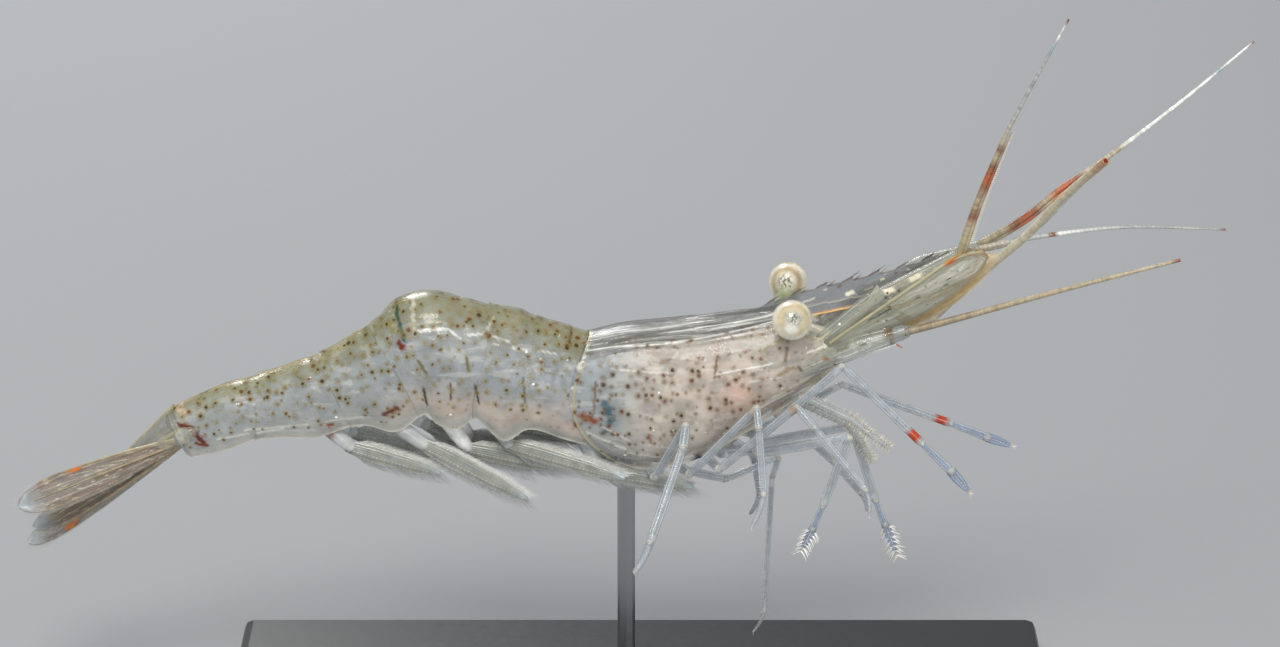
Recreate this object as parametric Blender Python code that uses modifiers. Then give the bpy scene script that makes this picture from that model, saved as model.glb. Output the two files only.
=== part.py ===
"""Glass shrimp (family Palaemonidae), life size, swimming, held on a small display stand.

The animal's length runs along X with the head at +X, its left side is +Y and up is +Z. The origin is
the centre of the stand's underside. Sizes and places are in millimetres and become metres where a
mesh or curve is made. Neighbouring pieces are parted by PARTING_GAP: a piece that grows out of
another starts inside it and is cut by a copy of it grown by the gap.
"""

import math

import bmesh
import bpy
from mathutils import Vector

MM = 0.001
PARTING_GAP = 0.06
# The exact solver empties or splits some of these small pieces, and the manifold one doesn't.
SOLVER = "MANIFOLD"

# Stand
BASE_LENGTH = 42.0
BASE_DEPTH = 15.0
BASE_THICKNESS = 2.2
BASE_BEVEL = 0.5
ROD_DIAMETER = 0.9
ROD_X = -0.7
ROD_TOP_Z = 14.9

# A body section is where a plane across the body meets the shell, as
# (top x, top z, lower margin x, lower margin z, half width, bow, skew).
# The bow bends the plane forward at mid height, and the skew pushes it back above and forward below.
CARAPACE_ANGLE = 140
CARAPACE_HOLLOW = 0.5
CARAPACE_SECTIONS = (
    (-2.5, 21.0, -1.2, 14.7, 2.40, -1.5, 0.0),
    (-0.9, 21.4, 0.2, 14.4, 2.60, -0.9, 0.0),
    (1.0, 21.6, 1.7, 14.6, 2.68, -0.4, 0.0),
    (2.8, 21.8, 3.3, 15.2, 2.66, -0.1, 0.0),
    (4.6, 22.0, 5.2, 16.3, 2.50, 0.1, 0.0),
    (6.2, 22.2, 7.1, 17.6, 2.26, 0.4, 0.1),
    (7.1, 22.4, 8.3, 18.4, 2.00, 0.8, 0.2),
    (7.3, 22.3, 9.1, 18.9, 1.72, 1.0, 0.3),
)

ABDOMEN_ANGLE = 127
ABDOMEN_HOLLOW = 0.8
# The joints between somites, from the carapace back to the telson, and each somite's middle section.
ABDOMEN_JOINTS = (
    (-2.6, 21.0, -1.4, 15.4, 2.36, -1.5, 0.0),
    (-4.8, 21.6, -5.5, 16.7, 2.46, -0.5, -0.2),
    (-7.2, 22.3, -8.1, 17.2, 2.46, 0.1, -0.2),
    (-13.1, 21.7, -10.7, 17.4, 2.14, 0.3, 0.0),
    (-15.7, 20.0, -13.9, 16.7, 1.82, 0.1, 0.0),
    (-18.5, 18.9, -18.8, 15.9, 1.50, 0.1, 0.0),
    (-23.6, 16.9, -22.6, 14.7, 1.05, 0.0, 0.0),
)
ABDOMEN_MIDDLES = (
    ((-3.7, 21.3, -3.6, 16.1, 2.44, -1.0, 0.0),),
    ((-6.0, 22.1, -6.8, 16.1, 2.56, -0.2, -0.2),),
    ((-8.6, 22.7, -8.8, 16.8, 2.44, 0.1, 0.0),
     (-10.5, 23.1, -9.4, 16.6, 2.36, 0.2, 0.0),
     (-12.1, 22.7, -10.1, 16.9, 2.24, 0.3, 0.0)),
    ((-14.4, 20.8, -12.2, 16.4, 1.98, 0.2, 0.0),),
    ((-17.1, 19.4, -16.3, 16.0, 1.66, 0.1, 0.0),),
    ((-21.0, 18.1, -20.8, 15.2, 1.36, 0.0, 0.0),),
)

# The sternum carries the legs: (x, z of its axis), half width and half height.
STERNUM_AXIS = ((-1.0, 14.75), (1.5, 14.75), (4.0, 15.65), (6.4, 17.05), (8.4, 18.35))
STERNUM_HALF_WIDTH = 1.25
STERNUM_HALF_HEIGHT = 0.55
COXA_SIDE = 0.85
COXA_X = {
    "maxilliped_3": 7.0,
    "pereiopod_1": 5.7,
    "pereiopod_2": 4.4,
    "pereiopod_3": 3.0,
    "pereiopod_4": 1.6,
    "pereiopod_5": 0.2,
}
COXA_THICKNESS = 0.80

# Each limb runs from its coxa through its podomeres, as rows of
# (length, pitch above the horizontal, yaw towards the animal's left, thickness at its end).
LIMBS = {
    "maxilliped_3_r": ((1.6, 37, -26, 0.62), (2.7, -26, -2, 0.66), (1.0, -39, -8, 0.62), (1.4, -37, -5, 0.50)),
    "maxilliped_3_l": ((1.4, -18, 16, 0.62), (2.5, -24, -5, 0.66), (1.2, -57, -2, 0.62), (1.2, -60, 0, 0.50)),
    "pereiopod_1_r": ((1.5, -75, -63, 0.66), (4.8, 14, -9, 0.62), (4.0, -71, 166, 0.64),
                      (1.4, -69, 167, 0.62), (1.4, -66, 170, 0.50)),
    "pereiopod_1_l": ((1.8, -77, 55, 0.66), (4.9, 8, 6, 0.62), (4.2, -72, -8, 0.64),
                      (1.4, -68, -12, 0.62), (1.8, -68, -8, 0.50)),
    "pereiopod_2_r": ((1.6, -1, -56, 0.66), (6.8, 45, -12, 0.56), (5.5, -42, -15, 0.70),
                      (2.0, -42, -14, 0.72), (1.5, -48, -12, 0.50)),
    "pereiopod_2_l": ((1.9, -25, 41, 0.66), (5.2, 29, 5, 0.56), (6.1, -22, 4, 0.70),
                      (2.1, -24, 7, 0.72), (1.5, -22, 4, 0.50)),
    "pereiopod_3_r": ((2.1, -9, -62, 0.60), (5.5, 44, -18, 0.52), (1.4, -39, -34, 0.52),
                      (4.2, -33, -46, 0.52), (1.3, -73, -70, 0.50)),
    "pereiopod_3_l": ((2.0, -41, 39, 0.60), (4.9, 1, 17, 0.52), (1.5, -45, 9, 0.52),
                      (2.5, -51, 7, 0.52), (1.0, -75, 2, 0.50)),
    "pereiopod_4_r": ((1.8, -6, -60, 0.60), (5.5, 49, -25, 0.52), (1.1, -53, -81, 0.52),
                      (3.8, -37, -87, 0.52), (1.7, -60, -136, 0.50)),
    "pereiopod_4_l": ((1.9, -23, 55, 0.60), (3.3, -6, 24, 0.52), (1.3, -58, 60, 0.52),
                      (4.6, -43, 84, 0.52), (1.8, -57, 119, 0.50)),
    "pereiopod_5_r": ((1.6, -13, -69, 0.60), (4.2, 56, -50, 0.54), (1.1, -56, -104, 0.54),
                      (5.1, -49, -119, 0.54), (1.7, -54, -144, 0.50)),
    "pereiopod_5_l": ((2.5, -34, 12, 0.60), (2.3, -17, 11, 0.56), (2.9, 19, 11, 0.54),
                      (1.2, -73, 150, 0.52), (7.7, -86, 125, 0.50), (1.3, -63, -176, 0.50)),
}

# Pleopods: somite, root (x, y, z), protopod (length, pitch), pitch of the rami, and then
# (length of the rami, splay outward) on the right and on the left.
PROTOPOD_THICKNESS = 0.84
RAMUS_WIDTH = 0.86
RAMUS_THICKNESS = 0.50
RAMUS_SPREAD = 4
RAMUS_SINK = 0.3
RAMUS_STATIONS = ((0.0, 0.55), (0.25, 0.95), (0.7, 0.85), (1.0, 0.4))
PLEOPODS = (
    (1, (-3.2, 1.10, 16.3), (2.7, -60), -8, {"r": (4.9, 3), "l": (2.3, 11)}),
    (2, (-7.5, 1.15, 17.0), (1.8, -56), -12, {"r": (6.4, 11), "l": (6.4, 11)}),
    (3, (-10.3, 0.85, 17.5), (2.9, -55), -12, {"r": (5.0, 0), "l": (5.0, 0)}),
    (4, (-13.3, 1.05, 17.3), (3.1, -35), -26, {"r": (6.1, 8), "l": (6.1, 8)}),
    (5, (-16.2, 0.90, 16.75), (2.3, -41), -15, {"r": (4.9, 4), "l": (4.9, 4)}),
)

# Tail fan
TELSON_ROOT = (-23.0, 0.0, 16.3)
TELSON_LENGTH = 7.2
TELSON_PITCH = -37
TELSON_WIDTHS = ((0.0, 0.92), (0.25, 0.90), (0.6, 0.66), (0.88, 0.44), (1.0, 0.26))
TELSON_THICKNESS = 0.85
UROPOD_PROTOPOD_ROOT = (-22.6, 0.95, 15.65)
UROPOD_PROTOPOD_LENGTH = 1.7
UROPOD_PROTOPOD_THICKNESS = 0.95
UROPOD_PROTOPOD_PITCH = -24
# The fan is rolled, so that its right side stands higher than its left.
UROPOD_LIFT = 0.35
# Each blade: root (x, y, z), length, pitch, yaw, roll of its width about its length, breadth.
UROPOD_BLADES = {
    "uropod_exopod_r": ((-23.3, -1.15, 15.85), 8.5, -23, -172, 62, 1.65),
    "uropod_exopod_l": ((-23.3, 1.20, 14.70), 10.2, -36, 173, 40, 1.6),
    "uropod_endopod_r": ((-23.3, -0.75, 15.35), 8.8, -32, 179, 58, 1.3),
    "uropod_endopod_l": ((-23.3, 0.75, 14.85), 8.8, -33, 180, 46, 1.3),
}
BLADE_THICKNESS = 0.50
BLADE_STATIONS = ((0.0, 0.45), (0.15, 0.75), (0.4, 1.0), (0.7, 0.95), (0.9, 0.6), (1.0, 0.25))

# Head
EYE_PLACE = (7.5, 2.85, 22.72)
EYE_RADIUS = 1.02
EYESTALK_ROOT = (7.0, 0.7, 21.5)
# How far along the line from its root to the eye's centre, and how thick.
EYESTALK_STATIONS = ((0.0, 1.0), (0.45, 1.0), (0.85, 1.3))
ROSTRUM_THICKNESS = 0.50
ROSTRUM_TOP = ((4.6, 21.9), (6.5, 22.55), (8.0, 23.15), (10.9, 23.9), (12.7, 24.35), (14.9, 25.1))
ROSTRUM_TIP = (15.4, 25.35)
ROSTRUM_UNDER = ((14.4, 24.65), (12.9, 23.7), (11.1, 22.5), (9.0, 22.05), (7.2, 21.7), (5.0, 21.2))
ROSTRUM_TOOTH_STATIONS = (6.1, 7.4, 8.7, 10.0, 11.3, 12.6, 13.9)
ROSTRUM_TOOTH = (0.55, 0.17)

ANTENNULE_ROOT = (9.0, -0.86, 20.75)
ANTENNULE_ROOT_THICKNESS = 1.06
ANTENNULE_PEDUNCLES = {
    "r": ((3.1, 41, 0, 1.02), (3.2, 30, 0, 0.84), (1.9, 32, 0, 0.82)),
    "l": ((3.1, 41, 0, 1.02), (3.2, 30, 0, 0.84), (2.9, 16, 2, 0.82)),
}
ANTENNULE_OUTER_FLAGELLA = {
    "r": ((3.0, 73, -27, 0.52), (3.1, 69, -32, 0.52), (2.3, 66, -33, 0.50), (5.6, 64, -21, 0.50)),
    "l": ((2.7, 32, 2, 0.52), (2.3, 39, 7, 0.52), (3.0, 34, 7, 0.52), (4.4, 37, 8, 0.50), (4.6, 39, 10, 0.50)),
}
ANTENNULE_INNER_FLAGELLA = {
    "r": ((1.4, 12, 5, 0.50), (3.3, 10, 3, 0.50), (4.0, 5, 3, 0.50), (4.8, -3, 4, 0.50)),
    "l": ((1.6, 10, 10, 0.50), (1.7, 30, 4, 0.50), (2.0, 47, 0, 0.50), (2.0, 47, -4, 0.50)),
}
FLAGELLA_SPREAD = 0.34
FLAGELLUM_ROOT_THICKNESS = 0.56
FLAGELLUM_SINK = 0.4

ANTENNA_ROOT = (8.6, -1.75, 19.95)
ANTENNA_ROOT_THICKNESS = 1.2
ANTENNA_PEDUNCLE = ((2.4, 26, -4, 1.24), (1.9, 19, -3, 1.0))
ANTENNA_FLAGELLA = {
    "r": ((2.9, 16, -2, 0.50), (5.6, 17, -2, 0.50), (6.3, 16, -2, 0.50)),
    "l": ((2.0, -14, -21, 0.50), (2.2, 42, -33, 0.50), (2.8, 47, -32, 0.50),
          (3.6, 43, -46, 0.50), (3.9, 45, -56, 0.50), (4.1, 40, -60, 0.50)),
}

# Antennal scales: the outer margin runs straight from the root to a tooth, and the plate spreads
# inward and past it. Each side has its pitch, outward yaw and roll: at 0 the plate lies level.
SCALE_ROOT = (9.4, -1.95, 21.2)
SCALE_LENGTH = 8.9
SCALE_POSES = {"r": (38, 7, 54), "l": (20, 11.5, 4)}
SCALE_EDGES = ((0.0, 0.0, 0.5), (0.16, 0.0, 1.25), (0.36, 0.0, 2.0), (0.6, 0.0, 2.35),
               (0.82, 0.0, 2.2), (0.93, 0.35, 1.8), (1.0, 0.8, 1.35))

MOUTH_PLACE = (8.9, 0.0, 18.55)
MOUTH_HALF_SIZES = (1.1, 0.95, 0.8)

COLOURS = {
    "shell": (0.66, 0.70, 0.72),
    "flesh": (0.78, 0.76, 0.72),
    "limb": (0.60, 0.66, 0.70),
    "blade": (0.72, 0.68, 0.60),
    "eye": (0.80, 0.77, 0.68),
    "stalk": (0.62, 0.68, 0.52),
    "rod": (0.62, 0.62, 0.63),
    "base": (0.03, 0.03, 0.035),
}


# ---------------------------------------------------------------- scene and materials

def clear_scene():
    for obj in list(bpy.data.objects):
        bpy.data.objects.remove(obj, do_unlink=True)


def new_collection(name, hidden=False):
    collection = bpy.data.collections.new(name)
    bpy.context.scene.collection.children.link(collection)
    collection.hide_render = hidden
    return collection


def new_material(name, colour, roughness=0.35, metallic=0.0):
    material = bpy.data.materials.new(name)
    material.use_nodes = True
    shader = material.node_tree.nodes["Principled BSDF"]
    shader.inputs["Base Color"].default_value = (*colour, 1.0)
    shader.inputs["Roughness"].default_value = roughness
    shader.inputs["Metallic"].default_value = metallic
    material.diffuse_color = (*colour, 1.0)
    return material


def add_part(name, mesh, finish, roughness=0.35, metallic=0.0):
    """Link a mesh as one named node with a material of its own."""
    obj = bpy.data.objects.new(name, mesh)
    PARTS.objects.link(obj)
    obj.data.materials.append(new_material(name, COLOURS[finish], roughness, metallic))
    return obj


def add_helper(name, mesh):
    """Link a mesh that only cuts or joins others."""
    obj = bpy.data.objects.new(name, mesh)
    CUTTERS.objects.link(obj)
    obj.hide_render = True
    obj.display_type = "WIRE"
    return obj


# ---------------------------------------------------------------- geometry helpers

def direction(pitch, yaw):
    pitch, yaw = math.radians(pitch), math.radians(yaw)
    return Vector((math.cos(pitch) * math.cos(yaw), math.cos(pitch) * math.sin(yaw), math.sin(pitch)))


def loft(name, rings):
    """A closed mesh through rings of equal length, given in millimetres."""
    bm = bmesh.new()
    rows = [[bm.verts.new(Vector(point) * MM) for point in ring] for ring in rings]
    for row, following in zip(rows, rows[1:]):
        for k in range(len(row)):
            after = (k + 1) % len(row)
            bm.faces.new((row[k], row[after], following[after], following[k]))
    for row in (rows[0], rows[-1]):
        bmesh.ops.poke(bm, faces=[bm.faces.new(row)])
    bmesh.ops.recalc_face_normals(bm, faces=bm.faces)
    mesh = bpy.data.meshes.new(name)
    bm.to_mesh(mesh)
    bm.free()
    return mesh


def tube(name, path):
    """A round tube through (point, thickness) rows in millimetres, as a mesh with welded caps."""
    curve = bpy.data.curves.new(name, "CURVE")
    curve.dimensions = "3D"
    curve.bevel_depth = 0.5 * MM
    curve.bevel_resolution = 2
    curve.use_fill_caps = True
    spline = curve.splines.new("POLY")
    spline.points.add(len(path) - 1)
    for point, (place, thickness) in zip(spline.points, path):
        point.co = (*(Vector(place) * MM), 1.0)
        point.radius = thickness
    return mesh_from_curve(name, curve)


def mesh_from_curve(name, curve):
    obj = bpy.data.objects.new(name + "_curve", curve)
    bpy.context.scene.collection.objects.link(obj)
    graph = bpy.context.evaluated_depsgraph_get()
    mesh = bpy.data.meshes.new_from_object(obj.evaluated_get(graph))
    mesh.name = name
    bm = bmesh.new()
    bm.from_mesh(mesh)
    bmesh.ops.remove_doubles(bm, verts=bm.verts, dist=1e-7)
    bmesh.ops.recalc_face_normals(bm, faces=bm.faces)
    bm.to_mesh(mesh)
    bm.free()
    bpy.data.objects.remove(obj)
    bpy.data.curves.remove(curve)
    return mesh


def limb_path(root, root_thickness, podomeres, corner=0.14):
    """Rows for tube(), straight along each podomere and rounded at each joint."""
    place = Vector(root)
    thickness = root_thickness
    path = [(place.copy(), thickness)]
    for index, (length, pitch, yaw, end_thickness) in enumerate(podomeres):
        end = place + direction(pitch, yaw) * length
        if index:
            path.append((place.lerp(end, corner), thickness))
        last = index == len(podomeres) - 1
        path.append((place.lerp(end, 1.0 if last else 1.0 - corner), end_thickness))
        place, thickness = end, end_thickness
    return path


def smooth_path(root, root_thickness, lengths, steps=2):
    """Rows for tube() along a feeler that bends evenly through its stated lengths."""
    points = [Vector(root)]
    widths = [root_thickness]
    for length, pitch, yaw, thickness in lengths:
        points.append(points[-1] + direction(pitch, yaw) * length)
        widths.append(thickness)
    path = []
    for k in range(len(points) - 1):
        before = points[max(k - 1, 0)]
        after = points[min(k + 2, len(points) - 1)]
        for step in range(steps):
            t = step / steps
            path.append((catmull_rom(before, points[k], points[k + 1], after, t),
                         widths[k] + (widths[k + 1] - widths[k]) * t))
    path.append((points[-1], widths[-1]))
    return path


def catmull_rom(a, b, c, d, t):
    return 0.5 * (2 * b + (c - a) * t + (2 * a - 5 * b + 4 * c - d) * t ** 2 + (3 * b - a - 3 * c + d) * t ** 3)


def grown_copy(obj, distance=PARTING_GAP):
    """A copy of an untrimmed part, grown on all sides, to cut its neighbours with."""
    mesh = obj.data.copy()
    bm = bmesh.new()
    bm.from_mesh(mesh)
    bm.normal_update()
    shifts = [vert.normal * (distance * MM) for vert in bm.verts]
    for vert, shift in zip(bm.verts, shifts):
        vert.co += shift
    bm.to_mesh(mesh)
    bm.free()
    return add_helper(obj.name + "_cutter", mesh)


def trim(obj, *names):
    """Cut a part by the grown copies of the named parts."""
    for name in names:
        cutter = bpy.data.objects.get(name + "_cutter") or grown_copy(bpy.data.objects[name])
        modifier = obj.modifiers.new("trim_" + name, "BOOLEAN")
        modifier.operation = "DIFFERENCE"
        modifier.object = cutter
        modifier.solver = SOLVER
    return obj


def join(obj, helper):
    modifier = obj.modifiers.new("join_" + helper.name, "BOOLEAN")
    modifier.operation = "UNION"
    modifier.object = helper
    modifier.solver = SOLVER


# ---------------------------------------------------------------- carapace and abdomen

def section_ring(section, angle, hollow, outer=20, inner=6):
    """Points round one body section: over the back from margin to margin, then across the underside."""
    top_x, top_z, low_x, low_z, half_width, bow, skew = section
    limit = math.radians(angle)
    top, low = Vector((top_x, top_z)), Vector((low_x, low_z))
    down = (low - top).normalized()
    forward = Vector((-down.y, down.x))
    ring = []
    for k in range(outer + 1):
        turn = limit * (2 * k / outer - 1)
        depth = (1 - math.cos(turn)) / (1 - math.cos(limit))
        bend = bow * math.sin(math.pi * depth) - skew * math.sin(2 * math.pi * depth)
        side = top.lerp(low, depth) + forward * bend
        ring.append(Vector((side.x, half_width * math.sin(turn), side.y)))
    right, left = ring[0], ring[-1]
    for k in range(1, inner):
        t = k / inner
        rise = hollow * min(1.0, 1.6 * math.sin(math.pi * t))
        ring.append(left.lerp(right, t) - Vector((down.x, 0, down.y)) * rise)
    return ring


def moved_section(section, distance):
    """The section shifted along the body, to leave half a gap at a joint."""
    return (section[0] + distance, section[1], section[2] + distance, *section[3:])


def make_carapace():
    rings = [section_ring(section, CARAPACE_ANGLE, CARAPACE_HOLLOW) for section in CARAPACE_SECTIONS]
    return add_part("carapace", loft("carapace", rings), "shell", 0.2)


def make_abdomen():
    for index, middles in enumerate(ABDOMEN_MIDDLES):
        front = moved_section(ABDOMEN_JOINTS[index], -PARTING_GAP)
        rear = moved_section(ABDOMEN_JOINTS[index + 1], PARTING_GAP)
        rings = [section_ring(section, ABDOMEN_ANGLE, ABDOMEN_HOLLOW) for section in (front, *middles, rear)]
        name = "abdomen_%d" % (index + 1)
        somite = add_part(name, loft(name, rings), "shell", 0.2)
        if index == 0:
            trim(somite, "carapace")


def sternum_height(x):
    """The height of the sternum's axis at a place along the body."""
    for (x0, z0), (x1, z1) in zip(STERNUM_AXIS, STERNUM_AXIS[1:]):
        if x <= x1:
            return z0 + (z1 - z0) * (x - x0) / (x1 - x0)
    return STERNUM_AXIS[-1][1]


def make_sternum():
    rings = []
    last = len(STERNUM_AXIS) - 1
    for index, (x, z) in enumerate(STERNUM_AXIS):
        size = 0.72 if index in (0, last) else 1.0
        rings.append([
            (x, size * STERNUM_HALF_WIDTH * math.cos(turn), z + size * STERNUM_HALF_HEIGHT * math.sin(turn))
            for turn in (2 * math.pi * k / 14 for k in range(14))
        ])
    trim(add_part("sternum", loft("sternum", rings), "flesh"), "carapace")


# ---------------------------------------------------------------- limbs

def make_limbs():
    for name, podomeres in LIMBS.items():
        kind, side = name[:-2], (-1 if name.endswith("_r") else 1)
        x = COXA_X[kind]
        root = (x, side * COXA_SIDE, sternum_height(x) - 0.25)
        limb = add_part(name, tube(name, limb_path(root, COXA_THICKNESS, podomeres)), "limb")
        trim(limb, "sternum", "carapace")


def blade(name, root, along, across, edges, thickness, sides=8):
    """A flat plate along an axis. Each row of edges is the station along the axis and how far the
    plate's two edges there lie across it."""
    across = across.normalized()
    normal = along.cross(across)
    rings = []
    for station, first, second in edges:
        centre = Vector(root) + along * station + across * ((first + second) / 2)
        half = (second - first) / 2
        rings.append([
            centre + across * (half * math.cos(turn)) + normal * (0.5 * thickness * math.sin(turn))
            for turn in (2 * math.pi * k / sides for k in range(sides))
        ])
    return loft(name, rings)


def blade_rows(stations, length, width):
    """Rows for blade() of a plate as wide on both sides of its axis, from shares of its length and width."""
    return [(t * length, -share * width / 2, share * width / 2) for t, share in stations]


def make_pleopod(name, side, somite, root, protopod, pitch, length, splay):
    start = Vector((root[0], side * root[1], root[2]))
    end = start + direction(protopod[1], side * splay) * protopod[0]
    path = [(start, PROTOPOD_THICKNESS), (start.lerp(end, 0.6), PROTOPOD_THICKNESS),
            (end, 0.75 * PROTOPOD_THICKNESS)]
    pleopod = add_part(name, tube(name, path), "limb")
    for ramus, turn in (("exopod", 1), ("endopod", -1)):
        along = direction(pitch + turn, side * (splay + turn * RAMUS_SPREAD))
        across = along.cross(Vector((0, 1, 0)))
        rows = blade_rows(RAMUS_STATIONS, length, RAMUS_WIDTH)
        mesh = blade(ramus, end - along * RAMUS_SINK, along, across, rows, RAMUS_THICKNESS, 6)
        join(pleopod, add_helper(name + "_" + ramus, mesh))
    trim(pleopod, "abdomen_%d" % somite)


def make_pleopods():
    for somite, root, protopod, pitch, poses in PLEOPODS:
        for suffix, side in (("r", -1), ("l", 1)):
            length, splay = poses[suffix]
            make_pleopod("pleopod_%d_%s" % (somite, suffix), side, somite, root, protopod, pitch, length, splay)


# ---------------------------------------------------------------- tail fan

def make_telson():
    along = direction(TELSON_PITCH, 180)
    up = along.cross(Vector((0, 1, 0)))
    rings = []
    for station, half_width in TELSON_WIDTHS:
        centre = Vector(TELSON_ROOT) + along * (station * TELSON_LENGTH)
        half_height = 0.5 * TELSON_THICKNESS * (1.0 - 0.4 * station)
        rings.append([
            centre + Vector((0, half_width * math.cos(turn), 0)) + up * (half_height * math.sin(turn))
            for turn in (2 * math.pi * k / 12 for k in range(12))
        ])
    trim(add_part("telson", loft("telson", rings), "blade", 0.25), "abdomen_6")


def rolled_across(along, roll):
    """The direction of a blade's breadth: level at roll 0, standing on edge at roll 90."""
    level = along.cross(Vector((0, 0, 1))).normalized()
    upward = level.cross(along).normalized()
    turn = math.radians(roll)
    return level * math.cos(turn) + upward * math.sin(turn)


def make_uropods():
    thickness = UROPOD_PROTOPOD_THICKNESS
    x, y, z = UROPOD_PROTOPOD_ROOT
    for suffix, side in (("r", -1), ("l", 1)):
        start = Vector((x, side * y, z - side * UROPOD_LIFT))
        end = start + direction(UROPOD_PROTOPOD_PITCH, 180) * UROPOD_PROTOPOD_LENGTH
        name = "uropod_protopod_" + suffix
        path = [(start, thickness), (start.lerp(end, 0.5), 1.1 * thickness), (end, 0.8 * thickness)]
        trim(add_part(name, tube(name, path), "blade"), "abdomen_6", "telson")
    for name, (root, length, pitch, yaw, roll, breadth) in UROPOD_BLADES.items():
        along = direction(pitch, yaw)
        rows = blade_rows(BLADE_STATIONS, length, breadth)
        mesh = blade(name, root, along, rolled_across(along, roll), rows, BLADE_THICKNESS)
        trim(add_part(name, mesh, "blade", 0.25), "abdomen_6", "telson", "uropod_protopod_" + name[-1])


# ---------------------------------------------------------------- head

def make_eyes():
    for suffix, side in (("r", -1), ("l", 1)):
        place = Vector((EYE_PLACE[0], side * EYE_PLACE[1], EYE_PLACE[2]))
        bm = bmesh.new()
        bmesh.ops.create_uvsphere(bm, u_segments=14, v_segments=8, radius=EYE_RADIUS * MM)
        bmesh.ops.translate(bm, verts=bm.verts, vec=place * MM)
        mesh = bpy.data.meshes.new("eye_" + suffix)
        bm.to_mesh(mesh)
        bm.free()
        add_part("eye_" + suffix, mesh, "eye", 0.08)
        root = Vector((EYESTALK_ROOT[0], side * EYESTALK_ROOT[1], EYESTALK_ROOT[2]))
        path = [(root.lerp(place, share), thickness) for share, thickness in EYESTALK_STATIONS]
        name = "eyestalk_" + suffix
        trim(add_part(name, tube(name, path), "stalk"), "eye_" + suffix, "carapace")


def rostrum_outline():
    """Round the blade in the X-Z plane: along the toothed upper edge to the tip and back underneath."""
    length, height = ROSTRUM_TOOTH
    outline = [ROSTRUM_TOP[0]]
    for station in ROSTRUM_TOOTH_STATIONS:
        z = edge_height(ROSTRUM_TOP, station)
        outline.append((station, z))
        outline.append((station + length, edge_height(ROSTRUM_TOP, station + length) + height))
    outline.append(ROSTRUM_TIP)
    outline.extend(ROSTRUM_UNDER)
    return outline


def edge_height(edge, x):
    for (x0, z0), (x1, z1) in zip(edge, edge[1:]):
        if x <= x1:
            return z0 + (z1 - z0) * (x - x0) / (x1 - x0)
    return edge[-1][1]


def make_rostrum():
    curve = bpy.data.curves.new("rostrum", "CURVE")
    curve.dimensions = "2D"
    curve.fill_mode = "BOTH"
    curve.extrude = 0.5 * ROSTRUM_THICKNESS * MM
    outline = rostrum_outline()
    spline = curve.splines.new("POLY")
    spline.points.add(len(outline) - 1)
    spline.use_cyclic_u = True
    for point, (x, z) in zip(spline.points, outline):
        point.co = (x * MM, z * MM, 0.0, 1.0)
    mesh = mesh_from_curve("rostrum", curve)
    for vertex in mesh.vertices:
        x, z, y = vertex.co
        vertex.co = (x, -y, z)
    trim(add_part("rostrum", mesh, "shell", 0.15), "carapace")


def path_end(root, lengths):
    place = Vector(root)
    for length, pitch, yaw, _ in lengths:
        place = place + direction(pitch, yaw) * length
    return place


def make_feeler(name, root, lengths, parent, parent_segment):
    """A flagellum whose root is sunk into the last segment of the peduncle that it grows from."""
    _, pitch, yaw, _ = parent_segment
    sink = direction(pitch, yaw) * FLAGELLUM_SINK
    path = [(Vector(root) - sink, FLAGELLUM_ROOT_THICKNESS)]
    path += smooth_path(root, FLAGELLUM_ROOT_THICKNESS, lengths)
    trim(add_part(name, tube(name, path), "limb"), parent)


def make_antennules():
    for suffix, side in (("r", -1), ("l", 1)):
        root = (ANTENNULE_ROOT[0], -side * ANTENNULE_ROOT[1], ANTENNULE_ROOT[2])
        segments = ANTENNULE_PEDUNCLES[suffix]
        name = "antennule_peduncle_" + suffix
        path = limb_path(root, ANTENNULE_ROOT_THICKNESS, segments, 0.08)
        trim(add_part(name, tube(name, path), "limb"), "carapace")
        end = path_end(root, segments)
        outward = Vector((0, side * FLAGELLA_SPREAD, 0))
        outer = ANTENNULE_OUTER_FLAGELLA[suffix]
        inner = ANTENNULE_INNER_FLAGELLA[suffix]
        make_feeler("antennule_outer_flagellum_" + suffix, end + outward, outer, name, segments[-1])
        make_feeler("antennule_inner_flagellum_" + suffix, end - outward, inner, name, segments[-1])


def make_antennae():
    for suffix, side in (("r", -1), ("l", 1)):
        root = (ANTENNA_ROOT[0], -side * ANTENNA_ROOT[1], ANTENNA_ROOT[2])
        segments = [(length, pitch, -side * yaw, thick) for length, pitch, yaw, thick in ANTENNA_PEDUNCLE]
        name = "antenna_peduncle_" + suffix
        path = limb_path(root, ANTENNA_ROOT_THICKNESS, segments, 0.1)
        trim(add_part(name, tube(name, path), "limb"), "carapace")
        end = path_end(root, segments)
        make_feeler("antenna_flagellum_" + suffix, end, ANTENNA_FLAGELLA[suffix], name, segments[-1])
        make_scale(suffix, side, name)


def make_scale(suffix, side, peduncle):
    pitch, splay, roll = SCALE_POSES[suffix]
    root = Vector((SCALE_ROOT[0], -side * SCALE_ROOT[1], SCALE_ROOT[2]))
    along = direction(pitch, side * splay)
    inward = Vector((0, 0, 1)).cross(along).normalized() * -side
    downward = along.cross(inward) * side
    turn = math.radians(roll)
    across = inward * math.cos(turn) + downward * math.sin(turn)
    edges = [(t * SCALE_LENGTH, outer, inner) for t, outer, inner in SCALE_EDGES]
    name = "antennal_scale_" + suffix
    mesh = blade(name, root, along, across, edges, BLADE_THICKNESS)
    trim(add_part(name, mesh, "blade", 0.25), peduncle, "carapace")


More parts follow.
